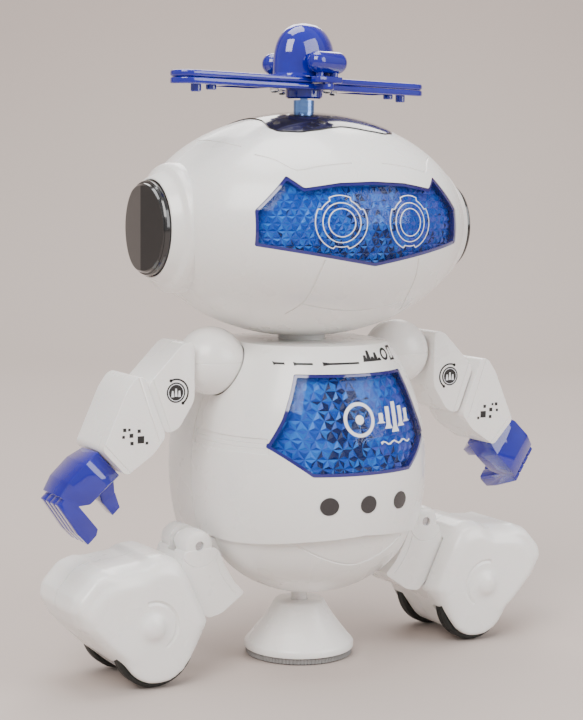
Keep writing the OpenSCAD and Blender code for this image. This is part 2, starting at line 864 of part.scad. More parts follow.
module gearbox_frame() {
    color("lightgray") {
        difference() {
            union() {
                for (z = [plate_low + seat, plate_high]) translate([0, 0, z])
                    linear_extrude(frame_t) frame_plate_outline();
                for (p = [[-9, -22.5], [25, -8], [-14, -16]]) translate([p[0], p[1], plate_low + seat])
                    cylinder(h = plate_high - plate_low, r = 1.6, $fn = 32);
                translate([idler_at[0], idler_at[1], plate_low + seat])
                    cylinder(h = plate_high - plate_low, r = idler_pin_r, $fn = round_fn);
            }
            for (z = [plate_low - 5]) translate([0, 0, z])
                cylinder(h = 40, r = shaft_r + run_fit, $fn = round_fn);
            translate([pinion_at[0], pinion_at[1], plate_high - 1]) cylinder(h = 5, r = 3.2, $fn = round_fn);
        }
    }
}

module drive_motor() {
    color("silver") translate([pinion_at[0], pinion_at[1], shaft_top + seat]) difference() {
        union() {
            intersection() {
                cylinder(h = motor_len, r = motor_r, $fn = round_fn);
                translate([-motor_r, -motor_r, 0]) cube([2 * motor_r, 2 * motor_r - 4, motor_len]);
            }
            translate([0, 0, -frame_t]) cylinder(h = frame_t + eps, r = 3, $fn = round_fn);
        }
        translate([0, 0, -5]) cylinder(h = 13, r = motor_shaft_r + run_fit, $fn = round_fn);
    }
}

module drive_shaft() {
    color("white") translate([0, 0, shaft_foot]) cylinder(h = shaft_top - shaft_foot, r = shaft_r, $fn = round_fn);
}

module base_cone() {
    wall = 1.8;
    color("white") rotate_extrude($fn = 96) polygon([
        [shaft_r + 0.02, shaft_foot], [shaft_r + 0.02, base_h], [8.7, base_h], [base_r - 1.4, 5.4],
        [base_r, 4.4], [base_r, pad_t + seat], [base_r - wall, pad_t + seat],
        [base_r - wall - 1.6, 5.4], [8.7 - wall, base_h - wall], [shaft_r + 2, base_h - wall],
        [shaft_r + 2, shaft_foot]]);
}

// Solid grip pad with a toothed edge
module base_pad() {
    teeth = 90;
    color([0.55, 0.55, 0.56]) {
        linear_extrude(pad_t) polygon([for (i = [0 : 2 * teeth - 1])
            let (r = base_r - (i % 2 == 0 ? 0.5 : 1.0)) r * [cos(180 * i / teeth), sin(180 * i / teeth)]]);
        translate([0, 0, pad_t - eps]) cylinder(h = 2.2, r = base_r - 3.8, $fn = 64);
    }
}

// ---- arms: the left arm is drawn, the right one is its mirror image ----
// Flat outline in X and Z given thickness along Y, with the front and back edges cut back
module slab(points, middle, t, y, cut) {
    k = 0.88;
    hull() {
        along_y(y - t / 2 + cut, y + t / 2 - cut) polygon(points);
        along_y(y - t / 2, y + t / 2)
            polygon([for (p = points) [middle[0] + (p[0] - middle[0]) * k, middle[1] + (p[1] - middle[1]) * k]]);
    }
}

module elbow_place() translate([elbow_at[0], arm_y, elbow_at[1]]) rotate([0, elbow_tilt, 0]) children();
module wrist_place() translate([wrist_at[0], arm_y, wrist_at[1]]) rotate([0, wrist_tilt, 0]) children();

module shoulder_ball() {
    color("white") {
        intersection() {
            translate([ball_x, arm_y, ball_z]) sphere(ball_r, $fn = 48);
            translate([0, -far / 2, 0]) cube([arm_start - seat, far, far]);
        }
        translate([shoulder_pin_in, arm_y, ball_z]) rotate([0, 90, 0])
            cylinder(h = ball_x - shoulder_pin_in, r = shoulder_pin_r, $fn = round_fn);
    }
}

module upper_arm() {
    color("white") difference() {
        slab([[arm_start, 91.5], [arm_start, 110.6], [50.6, 110.4], [63.5, 97.2], [57.2, 81.2], [52.4, 82.4]],
             [54.5, 95.5], upper_arm_t, arm_y, edge_cut);
        elbow_place() rotate([0, 90, 0]) translate([0, 0, -elbow_pin_len])
            cylinder(h = 2 * elbow_pin_len, r = elbow_pin_r + run_fit, $fn = round_fn);
    }
}

module elbow_pin() {
    color("silver") elbow_place() rotate([0, 90, 0]) translate([0, 0, -elbow_pin_len + 5])
        cylinder(h = 2 * elbow_pin_len - 8, r = elbow_pin_r, $fn = round_fn);
}

module forearm() {
    color("white") difference() {
        slab([[65.4, 100.5], [68.4, 100.2], [71.8, 95.6], [79.8, 77.6], [71.6, 69], [62, 75.4], [57.8, 80.8]],
             [68.5, 85], forearm_t, arm_y, edge_cut);
        elbow_place() rotate([0, 90, 0]) translate([0, 0, -elbow_pin_len])
            cylinder(h = 2 * elbow_pin_len - 2.9, r = elbow_pin_r + 0.02, $fn = round_fn);
        wrist_place() rotate([0, 90, 0]) translate([0, 0, -wrist_peg_len - 0.5])
            cylinder(h = 2 * wrist_peg_len, r = wrist_peg_r + run_fit, $fn = round_fn);
        elbow_place() translate([-20 + swing, -20, -20]) cube([20, 40, 40]);
    }
}

// A hand lies along its own X from the wrist, with the thumb on its -Z side
module hand_shape() {
    hull() {
        translate([swing, -6, -6]) cube([1, 12, 11]);
        translate([6, -8, -4.5]) cube([8, 16, 10.5]);
        translate([17, -7.6, -0.5]) cube([2, 15.2, 5]);
    }
    for (k = [0 : 3]) translate([0, -7.8 + 3.9 * k, 0]) hull() {
        translate([16.8, 0.15, -1]) cube([4.6, 3.6, 4.2]);
        translate([19.4, 0.25, -13.5]) cube([4, 3.4, 5]);
        translate([17.6, 0.25, -12.4]) cube([3, 3.4, 3]);
    }
    hull() {
        translate([2, -4, -6]) cube([5.5, 6.5, 2]);
        translate([5, -3.6, -10]) cube([5, 5.6, 1]);
    }
    hull() {
        translate([5, -3.6, -10]) cube([5, 5.6, 1]);
        translate([7, -3, -15]) cube([3.4, 4.6, 1]);
    }
    rotate([0, 90, 0]) translate([0, 0, -wrist_peg_len]) cylinder(h = wrist_peg_len + 2, r = wrist_peg_r, $fn = round_fn);
}
module hand(turn) {
    color([0.1, 0.1, 0.6, 0.8]) wrist_place() rotate([turn, 0, 0]) hand_shape();
}

// ---- legs: the left leg is drawn, the right one is its mirror image ----
thigh_points = [[39.6, 42.6], [37.6, 41.6], [35.4, 36.4], [31.9, 30.5], [27.8, 26.1], [36.6, 20],
                [41.5, 19], [49, 26], [52, 34], [50, 42]];

module thigh_shape(grow) {
    y0 = leg_y - thigh_t / 2 - grow;
    y1 = leg_y + thigh_t / 2 + grow;
    k = 1 + grow / 8;
    along_y(y0, y1) polygon([for (p = thigh_points) [41 + (p[0] - 41) * k, 31 + (p[1] - 31) * k]]);
}

module thigh() {
    color("white") difference() {
        union() {
            thigh_shape(0);
            rod_y(hip_at[0], hip_at[1], knuckle_r, leg_y - thigh_t / 2, leg_y + thigh_t / 2);
        }
        hull() {
            for (x = [hip_at[0], 20]) rod_y(x, hip_at[1], knuckle_r + 1, leg_y - tongue_t / 2 - swing,
                                            leg_y + tongue_t / 2 + swing);
            rod_y(28, 33, 1, leg_y - tongue_t / 2 - swing, leg_y + tongue_t / 2 + swing);
        }
        rod_y(hip_at[0], hip_at[1], hip_pin_r + run_fit, leg_y - thigh_t, leg_y + thigh_t);
    }
}

module hip_pins() {
    color("silver") mirror_copy()
        rod_y(hip_at[0], hip_at[1], hip_pin_r, leg_y - thigh_t / 2 + 1, leg_y + thigh_t / 2 - 1);
}

ankle_points = [[43.4, 19.7], [46, 25.5], [50.2, 31.5], [51.6, 37], [54.4, 41], [59, 42.8], [64, 42.4],
                [69, 39.6], [76, 30], [76, 12]];
toe_points = [[66, 41], [73, 39], [80, 39.6], [84.6, 38], [90.6, 31.5], [91.6, 27.5], [89, 22], [79.6, 12.2],
              [72, 6], [62, 12]];

module inset_outline(points, middle, k) {
    polygon([for (p = points) [middle[0] + (p[0] - middle[0]) * k, middle[1] + (p[1] - middle[1]) * k]]);
}

module boot_body() {
    y0 = leg_y - boot_t / 2;
    y1 = leg_y + boot_t / 2;
    hull() {
        along_y(y0 + boot_inset, y1 - boot_inset) polygon(ankle_points);
        along_y(y0, y1) inset_outline(ankle_points, wheel_at + [0, 10], 0.86);
        rod_y(wheel_at[0], wheel_at[1], heel_r, y0 + 1.2, y1 - 1.2, $fn = 32);
    }
    hull() {
        along_y(y0 + boot_inset, y1 - boot_inset) polygon(toe_points);
        along_y(y0 + 0.6, y1 - 0.6) inset_outline(toe_points, [74, 24], 0.84);
    }
}

module boot_whole() {
    difference() {
        union() {
            boot_body();
            translate([65, leg_y - boot_t / 2 + 0.6, 20.5]) scale([1, 0.55, 1]) sphere(4.2, $fn = 32);
        }
        thigh_shape(seat);
        for (s = [-1, 1]) rod_y(wheel_at[0], wheel_at[1], wheel_r + well_gap,
            leg_y + s * wheel_gap / 2 - wheel_w / 2 - well_gap, leg_y + s * wheel_gap / 2 + wheel_w / 2 + well_gap);
        rod_y(wheel_at[0], wheel_at[1], axle_r + run_fit, leg_y - boot_t / 2 + 1.4, leg_y + boot_t / 2 - 1.4);
        along_y(leg_y - 6, leg_y + 6) polygon([[66, 38], [80, 36.5], [86, 30], [84, 22], [79, 17], [70, 30]]);
    }
}

module boot_front() color("white") difference() {
    boot_whole();
    behind(leg_y - seat / 2);
}

module boot_rear() color("white") difference() {
    boot_whole();
    in_front_of(leg_y + seat / 2);
}

module wheels() {
    color([0.12, 0.12, 0.12]) for (s = [-1, 1]) difference() {
        rod_y(wheel_at[0], wheel_at[1], wheel_r, leg_y + s * wheel_gap / 2 - wheel_w / 2,
              leg_y + s * wheel_gap / 2 + wheel_w / 2);
        rod_y(wheel_at[0], wheel_at[1], axle_r + 0.02, -40, 40);
    }
}

module axle() {
    color("silver") rod_y(wheel_at[0], wheel_at[1], axle_r, leg_y - boot_t / 2 + 1.8, leg_y + boot_t / 2 - 1.8);
}

head_front_shell();
head_rear_shell();
visor_lens();
visor_reflector();
eye_light_board();
crown_plate();
ear_housings();
ear_caps();
head_screws();
neck_post();
rotor_post();
rotor_lower_shell();
rotor_upper_shell();
rotor_pods();
rotor_screws();
torso_front_shell();
torso_rear_shell();
pelvis_shell();
chest_lens();
chest_reflector();
chest_light_board();
main_board();
speaker();
battery_box();
battery_cells();
battery_contacts();
battery_door();
door_screw();
switch_knob();
gearbox_frame();
drive_motor();
torso_screws();
belly_studs();
motor_pinion();
idler_gear();
output_gear();
drive_shaft();
base_cone();
base_pad();
hip_pins();
mirror([1, 0, 0]) shoulder_ball();  // shoulder_ball_right
mirror([1, 0, 0]) upper_arm();  // upper_arm_right
mirror([1, 0, 0]) elbow_pin();  // elbow_pin_right
mirror([1, 0, 0]) forearm();  // forearm_right
mirror([1, 0, 0]) hand(0);  // hand_right
shoulder_ball();  // shoulder_ball_left
upper_arm();  // upper_arm_left
elbow_pin();  // elbow_pin_left
forearm();  // forearm_left
hand(75);  // hand_left
mirror([1, 0, 0]) thigh();  // thigh_right
mirror([1, 0, 0]) boot_front();  // boot_front_right
mirror([1, 0, 0]) boot_rear();  // boot_rear_right
mirror([1, 0, 0]) wheels();  // wheels_right
mirror([1, 0, 0]) axle();  // axle_right
thigh();  // thigh_left
boot_front();  // boot_front_left
boot_rear();  // boot_rear_left
wheels();  // wheels_left
axle();  // axle_left
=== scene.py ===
"""Looks of the toy robot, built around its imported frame.

Shapes are worked in millimetres and shrunk to metres.
"""

import bpy
import bmesh
import json
import math
import random
from mathutils import Matrix, Vector


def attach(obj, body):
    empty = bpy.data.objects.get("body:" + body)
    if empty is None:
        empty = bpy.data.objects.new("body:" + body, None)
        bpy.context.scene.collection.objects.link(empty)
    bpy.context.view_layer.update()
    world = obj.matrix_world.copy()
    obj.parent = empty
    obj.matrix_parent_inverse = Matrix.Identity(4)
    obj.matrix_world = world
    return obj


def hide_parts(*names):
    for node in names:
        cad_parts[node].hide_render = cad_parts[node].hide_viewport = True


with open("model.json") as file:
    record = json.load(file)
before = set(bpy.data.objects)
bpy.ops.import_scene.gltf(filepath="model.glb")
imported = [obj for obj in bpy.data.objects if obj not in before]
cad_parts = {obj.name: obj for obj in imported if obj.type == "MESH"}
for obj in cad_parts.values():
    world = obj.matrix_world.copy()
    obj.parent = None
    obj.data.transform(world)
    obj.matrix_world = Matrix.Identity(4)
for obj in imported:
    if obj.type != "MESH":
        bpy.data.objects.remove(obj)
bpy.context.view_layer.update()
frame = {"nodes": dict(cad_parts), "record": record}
scene = bpy.context.scene

MM = 0.001
DEG = math.pi / 180
random.seed(8)


# ---------------------------------------------------------------- finishes
class FinishValue:
    """A number or colour inside a finish. The usual operators add Math nodes."""

    def __init__(self, finish, socket):
        self.finish, self.socket = finish, socket

    def _math(self, operation, *values):
        return self.finish.node("ShaderNodeMath", {"operation": operation}, list(values))

    def __add__(self, other): return self._math("ADD", self, other)
    def __radd__(self, other): return self._math("ADD", other, self)
    def __sub__(self, other): return self._math("SUBTRACT", self, other)
    def __rsub__(self, other): return self._math("SUBTRACT", other, self)
    def __mul__(self, other): return self._math("MULTIPLY", self, other)
    def __rmul__(self, other): return self._math("MULTIPLY", other, self)
    def __gt__(self, other): return self._math("GREATER_THAN", self, other)


class Finish:
    """A Principled material and the nodes that feed it."""

    def __init__(self, name, **constants):
        self.material = bpy.data.materials.new(name)
        self.material.use_nodes = True
        self.tree = self.material.node_tree
        self.shader = self.tree.nodes["Principled BSDF"]
        for key, value in constants.items():
            self.shader.inputs[key.replace("_", " ")].default_value = value

    def node(self, kind, settings=None, values=None, out=0):
        n = self.tree.nodes.new(kind)
        for key, value in (settings or {}).items():
            if key == "stops":
                ramp = n.color_ramp
                while len(ramp.elements) < len(value):
                    ramp.elements.new(0.5)
                for element, (place, colour) in zip(ramp.elements, value):
                    element.position, element.color = place, (*colour, 1)
            else:
                setattr(n, key, value)
        pairs = values.items() if isinstance(values, dict) else enumerate(values or [])
        for key, value in pairs:
            if isinstance(value, FinishValue):
                self.tree.links.new(value.socket, n.inputs[key])
            else:
                n.inputs[key].default_value = value
        return FinishValue(self, n.outputs[out])

    def feed(self, name, value):
        self.tree.links.new(value.socket, self.shader.inputs[name])

    def place(self, scale=(1, 1, 1)):
        """Object coordinates, stretched."""
        spot = self.node("ShaderNodeTexCoord", out="Object")
        return self.node("ShaderNodeMapping", None, {"Vector": spot, "Scale": scale})

    def noise(self, per_metre, detail=3, scale=(1, 1, 1)):
        return self.node("ShaderNodeTexNoise", None, {
            "Vector": self.place(scale), "Scale": per_metre, "Detail": detail}, "Fac")

    def blend(self, amount, low, high):
        return self.node("ShaderNodeMix", {"data_type": "RGBA"}, {0: amount, 6: low, 7: high}, 2)

    def bump(self, height, strength, distance):
        self.feed("Normal", self.node("ShaderNodeBump", None, {
            "Height": height, "Strength": strength, "Distance": distance}))


def rgba(r, g, b):
    return (r, g, b, 1)


def white_plastic():
    f = Finish("white_plastic", IOR=1.5, Coat_Weight=0.35, Coat_Roughness=0.12,
               Subsurface_Weight=0.06, Subsurface_Scale=0.004)
    cloud = f.noise(14, 4)
    f.feed("Base Color", f.blend(cloud, rgba(0.875, 0.855, 0.83), rgba(0.91, 0.895, 0.875)))
    f.feed("Roughness", 0.22 + 0.12 * f.noise(60, 4))
    f.bump(f.noise(420, 2), 0.12, 0.0002)
    return f.material


def deep_blue(name, core, edge, see_through):
    """Tinted clear plastic with faint clouds and flow streaks in it."""
    f = Finish(name, IOR=1.5, Transmission_Weight=see_through, Coat_Weight=1.0, Coat_Roughness=0.03)
    f.feed("Base Color", f.blend(f.noise(70, 3, (1, 1, 2.5)), core, edge))
    f.feed("Roughness", 0.04 + 0.08 * f.noise(180, 3))
    return f.material


def prism_blue(name, low, high, metal, rough):
    f = Finish(name, Metallic=metal, IOR=1.4, Coat_Weight=0.15, Coat_Roughness=0.15)
    f.feed("Base Color", f.blend(f.noise(240, 3), low, high))
    f.feed("Roughness", rough + 0.12 * f.noise(500, 2))
    return f.material


def lens_clear():
    """Blue tinted window, clear enough to show the facets behind it."""
    f = Finish("lens_tint", IOR=1.45, Coat_Weight=0.7, Coat_Roughness=0.04, Roughness=0.06)
    cloud = f.noise(30, 2)
    f.feed("Base Color", f.blend(cloud, rgba(0.003, 0.02, 0.20), rgba(0.006, 0.03, 0.28)))
    f.feed("Alpha", 0.12 + 0.06 * cloud)
    return f.material


def black_gloss(name, low, high, rough):
    f = Finish(name, IOR=1.5, Coat_Weight=0.8, Coat_Roughness=0.06)
    f.feed("Base Color", f.blend(f.noise(40, 3), low, high))
    f.feed("Roughness", rough + 0.1 * f.noise(160, 4))
    return f.material


def metal(name, low, high, rough, grain=(1, 1, 12)):
    f = Finish(name, Metallic=1.0)
    f.feed("Base Color", f.blend(f.noise(180, 3, grain), low, high))
    f.feed("Roughness", rough + 0.12 * f.noise(600, 3, grain))
    return f.material


def matt(name, low, high, rough, per_metre=300, depth=0.00008):
    f = Finish(name, IOR=1.45)
    speck = f.noise(per_metre, 5)
    f.feed("Base Color", f.blend(speck, low, high))
    f.feed("Roughness", rough + 0.15 * f.noise(per_metre * 0.4, 3))
    f.bump(speck, 0.5, depth)
    return f.material


def circuit_board():
    """Green board with copper tracks under the mask and pale pads."""
    f = Finish("circuit_board", IOR=1.5, Coat_Weight=0.3)
    track = f.node("ShaderNodeTexBrick", {"offset": 0.35, "squash": 1.6}, {
        "Vector": f.place((1, 0.02, 1)), "Scale": 130, "Mortar Size": 0.012}, "Fac")
    pads = f.node("ShaderNodeTexVoronoi", None, {"Vector": f.place(), "Scale": 320}, "Distance")
    mask = f.blend(track, rgba(0.015, 0.10, 0.04), rgba(0.05, 0.24, 0.10))
    f.feed("Base Color", f.blend((0.12 - pads) > 0, mask, rgba(0.6, 0.58, 0.5)))
    f.feed("Roughness", 0.35 + 0.2 * track)
    return f.material


FINISH = {
    "white_shell": white_plastic(),
    "violet_plastic": deep_blue("violet_plastic", rgba(0.003, 0.010, 0.52),
                                rgba(0.006, 0.003, 0.24), 0.2),
    "blue_lens": lens_clear(),
    "blue_reflector": prism_blue("prism_mid", rgba(0.003, 0.07, 0.48), rgba(0.006, 0.13, 0.66),
                                 0.1, 0.34),
    "black_gloss": black_gloss("black_gloss", rgba(0.010, 0.009, 0.011), rgba(0.022, 0.020, 0.024),
                               0.10),
    "cap_grey": black_gloss("cap_grey", rgba(0.008, 0.008, 0.009), rgba(0.018, 0.018, 0.019), 0.12),
    "black_matte": matt("black_matte", rgba(0.010, 0.010, 0.010), rgba(0.030, 0.030, 0.030), 0.55),
    "chrome_screw": metal("chrome_screw", rgba(0.72, 0.72, 0.74), rgba(0.90, 0.90, 0.92), 0.05),
    "blue_metal": metal("blue_metal", rgba(0.10, 0.24, 0.72), rgba(0.32, 0.52, 0.95), 0.12),
    "grey_plastic": matt("grey_plastic", rgba(0.34, 0.34, 0.35), rgba(0.46, 0.46, 0.47), 0.45),
    "cell_jacket": metal("cell_jacket", rgba(0.05, 0.055, 0.06), rgba(0.16, 0.17, 0.18), 0.25,
                         (8, 8, 1)),
    "steel_pin": metal("steel_pin", rgba(0.45, 0.45, 0.47), rgba(0.66, 0.66, 0.68), 0.20),
    "brass_gear": metal("brass_gear", rgba(0.62, 0.42, 0.13), rgba(0.82, 0.60, 0.24), 0.22),
    "nylon_gear": matt("nylon_gear", rgba(0.70, 0.67, 0.58), rgba(0.80, 0.78, 0.70), 0.40),
    "grey_rubber": matt("grey_rubber", rgba(0.22, 0.215, 0.21), rgba(0.32, 0.31, 0.305), 0.62, 500),
    "wheel_rubber": matt("wheel_rubber", rgba(0.008, 0.009, 0.008), rgba(0.026, 0.028, 0.026),
                         0.42, 700),
    "circuit_board": circuit_board(),
    "black_ink": matt("black_ink", rgba(0.008, 0.007, 0.007), rgba(0.02, 0.018, 0.018), 0.35, 900,
                      0.00002),
    "white_ink": matt("white_ink", rgba(0.78, 0.80, 0.85), rgba(0.90, 0.91, 0.94), 0.35, 900,
                      0.00002),
    # Copies of the one prism blue for the reflector facets: a lighter one with painted light, a near-black one
    # with painted shade and a lavender one with a painted reflection.
    "prism_painted_light": prism_blue("prism_painted_light", rgba(0.008, 0.19, 0.80), rgba(0.03, 0.30, 0.95), 0.1,
                              0.30),
    "prism_painted_shade": prism_blue("prism_painted_shade", rgba(0.001, 0.003, 0.014), rgba(0.001, 0.008, 0.04),
                             0.0, 0.42),
    "prism_painted_reflection": prism_blue("prism_painted_reflection", rgba(0.05, 0.09, 0.55), rgba(0.13, 0.17, 0.72),
                                 0.1, 0.34),
    "lens_rim": deep_blue("lens_rim", rgba(0.006, 0.008, 0.22), rgba(0.010, 0.003, 0.12), 0.0),
}


# ---------------------------------------------------------------- curved bodies
class Egg:
    """An ellipsoid: the head, the front of the torso, the pelvis. A huge radius makes a straight tube."""

    def __init__(self, middle, radii):
        self.middle, self.radii = Vector(middle), Vector(radii)

    def level(self, p, lift=0.0):
        d = p - self.middle
        return math.sqrt(sum((d[i] / (self.radii[i] + lift)) ** 2 for i in range(3)))

    def onto(self, p, lift=0.0):
        p = Vector(p)
        return self.middle + (p - self.middle) / self.level(p, lift)

    def front(self, x, z, lift=0.0):
        """The point of the front side that is seen at x, z."""
        d = ((x - self.middle.x) / (self.radii.x + lift)) ** 2 + ((z - self.middle.z) / (self.radii.z + lift)) ** 2
        return Vector((x, self.middle.y - (self.radii.y + lift) * math.sqrt(max(0.0, 1 - d)), z))

    def normal(self, p):
        d = p - self.middle
        return Vector([d[i] / self.radii[i] ** 2 for i in range(3)]).normalized()


HEAD = Egg((0, 0, 147.5), (57, 48.48, 37.5))
CHEST = Egg((0, -7.4, 66), (39.5, 37, 56))
BACK = Egg((0, -7.4, 66), (39.5, 1e6, 56))
PELVIS = Egg((0, -6, 50), (36, 33, 27))


# ---------------------------------------------------------------- shaping tools
def lump(bm):
    """A bmesh as an object that later steps cut, join or finish."""
    mesh = bpy.data.meshes.new("lump")
    bm.to_mesh(mesh)
    bm.free()
    ob = bpy.data.objects.new("lump", mesh)
    scene.collection.objects.link(ob)
    return ob


def settle(ob):
    """Makes the object's modifiers part of its mesh."""
    bpy.context.view_layer.update()
    mesh = bpy.data.meshes.new_from_object(ob.evaluated_get(bpy.context.evaluated_depsgraph_get()))
    ob.modifiers.clear()
    ob.data = mesh
    return ob


def carve(ob, tool, how="DIFFERENCE", crossing=False):
    cut = ob.modifiers.new("carve", "BOOLEAN")
    cut.operation, cut.solver, cut.object, cut.use_self = how, "EXACT", tool, crossing
    settle(ob)
    bpy.data.objects.remove(tool)
    return ob


def together(obs):
    """Several lumps as one object of separate closed shells."""
    bm = bmesh.new()
    for ob in obs:
        bm.from_mesh(ob.data)
        bpy.data.objects.remove(ob)
    return lump(bm)


def flow(points, steps=6, closed=False):
    """A smooth line through the points."""
    p = [Vector(q) for q in points]
    n = len(p)
    line = []
    for i in range(n if closed else n - 1):
        a, b, c, d = (p[(i + k) % n] if closed else p[min(max(i + k, 0), n - 1)] for k in (-1, 0,
                                                                                           1, 2))
        for s in range(steps):
            t = s / steps
            line.append(0.5 * (2 * b + (c - a) * t + (2 * a - 5 * b + 4 * c - d) * t * t
                               + (3 * b - a - 3 * c + d) * t ** 3))
    return line if closed else line + [p[-1]]


def cord_tool(points, r, closed=False):
    """A thin round rod along a line, for cutting a groove."""
    line = bpy.data.curves.new("groove", "CURVE")
    line.dimensions, line.bevel_depth, line.bevel_resolution, line.use_fill_caps = "3D", r, 1, True
    spline = line.splines.new("POLY")
    spline.points.add(len(points) - 1)
    spline.use_cyclic_u = closed
    for point, place in zip(spline.points, points):
        point.co = (*place, 1)
    ob = bpy.data.objects.new("groove", line)
    scene.collection.objects.link(ob)
    bpy.context.view_layer.update()
    bm = bmesh.new()
    bm.from_mesh(bpy.data.meshes.new_from_object(ob.evaluated_get(bpy.context.evaluated_depsgraph_get())))
    bpy.data.objects.remove(ob)
    bmesh.ops.remove_doubles(bm, verts=bm.verts, dist=1e-4)
    bmesh.ops.recalc_face_normals(bm, faces=bm.faces)
    return lump(bm)


def egg_solid(egg, inset=0.0, segments=128):
    bm = bmesh.new()
    bmesh.ops.create_uvsphere(bm, u_segments=segments, v_segments=segments // 2, radius=1)
    bmesh.ops.scale(bm, vec=[r - inset for r in egg.radii], verts=bm.verts)
    bmesh.ops.translate(bm, vec=egg.middle, verts=bm.verts)
    return lump(bm)


def slice_off(bm, point, outward, fill=True):
    """Removes what lies on the outward side of a plane and closes the cut."""
    cut = bmesh.ops.bisect_plane(bm, geom=bm.verts[:] + bm.edges[:] + bm.faces[:], dist=1e-4,
                                 plane_co=point, plane_no=outward, clear_outer=True)
    rim = [g for g in cut["geom_cut"] if isinstance(g, bmesh.types.BMEdge)]
    if fill:
        bmesh.ops.contextual_create(bm, geom=rim)
    return rim


def round_edges(bm, edges, width, segments=3):
    return bmesh.ops.bevel(bm, geom=edges, offset=width, offset_type="OFFSET", segments=segments,
                           profile=0.5,
                           affect="EDGES", clamp_overlap=True, material=-1)


def outline_face(bm, outline, y=0.0, corner=0.0, steps=4):
    """A flat face in X and Z, seen from the front, with its corners rounded."""
    face = bm.faces.new([bm.verts.new((x, y, z)) for x, z in outline])
    if corner:
        bmesh.ops.bevel(bm, geom=face.verts[:], offset=corner, offset_type="OFFSET",
                        segments=steps, profile=0.5,
                        affect="VERTICES", clamp_overlap=True, material=-1)
        bm.faces.ensure_lookup_table()
        face = bm.faces[0]
    return face


def slab(outline, y0, y1, corner=0.0, edge=0.0, steps=4):
    """The outline given thickness from y0 to y1, with rounded corners and rims."""
    bm = bmesh.new()
    face = outline_face(bm, outline, y0, corner, steps)
    grown = bmesh.ops.extrude_face_region(bm, geom=[face])
    far = [g for g in grown["geom"] if isinstance(g, bmesh.types.BMVert)]
    bmesh.ops.translate(bm, vec=(0, y1 - y0, 0), verts=far)
    bmesh.ops.recalc_face_normals(bm, faces=bm.faces)
    if edge:
        rims = [e for e in bm.edges if abs(e.verts[0].co.y - e.verts[1].co.y) < 1e-6]
        round_edges(bm, rims, edge, steps)
    return lump(bm)


def turned(profile, middle, axis, segments=96):
    """A solid of revolution. The profile is a list of (radius, height), the height along the axis."""
    bm = bmesh.new()
    line = [bm.verts.new((r, 0, h)) for r, h in profile]
    edges = [bm.edges.new(pair) for pair in zip(line, line[1:])]
    bmesh.ops.spin(bm, geom=line + edges, cent=(0, 0, 0), axis=(0, 0, 1), angle=2 * math.pi,
                   steps=segments,
                   use_merge=True)
    bmesh.ops.remove_doubles(bm, verts=bm.verts, dist=1e-4)
    bmesh.ops.recalc_face_normals(bm, faces=bm.faces)
    turn = Vector((0, 0, 1)).rotation_difference(Vector(axis)).to_matrix().to_4x4()
    bmesh.ops.transform(bm, matrix=Matrix.Translation(middle) @ turn, verts=bm.verts)
    return lump(bm)


def capsule(a, b, r, segments=32):
    """A rod with round ends."""
    a, b = Vector(a), Vector(b)
    length = (b - a).length
    quarter = [(r * math.sin(t * 9 * DEG), -r * math.cos(t * 9 * DEG)) for t in range(11)]
    return turned(quarter + [(x, length - z) for x, z in reversed(quarter)], a, b - a, segments)


def hulled(points, edge=0.0, steps=2):
    """The tight skin round the points, with its edges rounded."""
    bm = bmesh.new()
    for p in points:
        bm.verts.new(p)
    skin = bmesh.ops.convex_hull(bm, input=bm.verts)
    spare = [g for g in skin["geom_interior"] + skin["geom_unused"] if isinstance(g,
                                                                                  bmesh.types.BMVert)]
    if spare:
        bmesh.ops.delete(bm, geom=list(set(spare)), context="VERTS")
    bmesh.ops.dissolve_limit(bm, angle_limit=2 * DEG, verts=bm.verts, edges=bm.edges)
    if edge:
        round_edges(bm, bm.edges[:], edge, steps)
    return lump(bm)


def block(low, high):
    return [(x, y, z) for x in (low[0], high[0]) for y in (low[1], high[1]) for z in (low[2],
                                                                                      high[2])]


def melt(ob, voxel, rounds):
    """Joins what overlaps and softens every edge, as in a blow-moulded shell."""
    skin = ob.modifiers.new("skin", "REMESH")
    skin.mode, skin.voxel_size = "VOXEL", voxel
    ease = ob.modifiers.new("ease", "SMOOTH")
    ease.factor, ease.iterations = 0.5, rounds
    return settle(ob)


def placed(ob, matrix):
    flip = matrix.determinant() < 0
    ob.data.transform(matrix)
    if flip:
        ob.data.flip_normals()
    return ob


def shade(ob, eggs=(), sharp=34):
    """Smooth shading with crisp edges. On the curved bodies the shading follows the true curve."""
    mesh = ob.data
    mesh.shade_smooth()
    mesh.set_sharp_from_angle(angle=sharp * DEG)
    if not eggs:
        return
    normals = []
    for face in mesh.polygons:
        for corner in face.loop_indices:
            p = mesh.vertices[mesh.loops[corner].vertex_index].co
            best = (0, 0, 0)
            for egg in eggs:
                if abs(egg.level(p) - 1) < 0.0012 and egg.normal(p).dot(face.normal) > 0.93:
                    best = egg.normal(p)
                    break
            normals.append(best)
    mesh.normals_split_custom_set(normals)


def finish_piece(ob, name, body, finish, nodes=(), eggs=(), sharp=34, keep=False):
    """Names, shades and paints a piece, shrinks it to metres and lets it ride on its body."""
    if not keep:
        shade(ob, eggs, sharp)
    ob.name = ob.data.name = name
    ob.data.transform(Matrix.Scale(MM, 4))
    if finish:
        ob.data.materials.clear()
        ob.data.materials.append(FINISH[finish])
    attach(ob, body)
    if nodes:
        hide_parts(*nodes)
    return ob


MIRROR = Matrix.Scale(-1, 4, (1, 0, 0))


# ---------------------------------------------------------------- outlines
def mirrored(half):
    return half + [(-x, z) for x, z in reversed(half) if abs(x) > 1e-6]


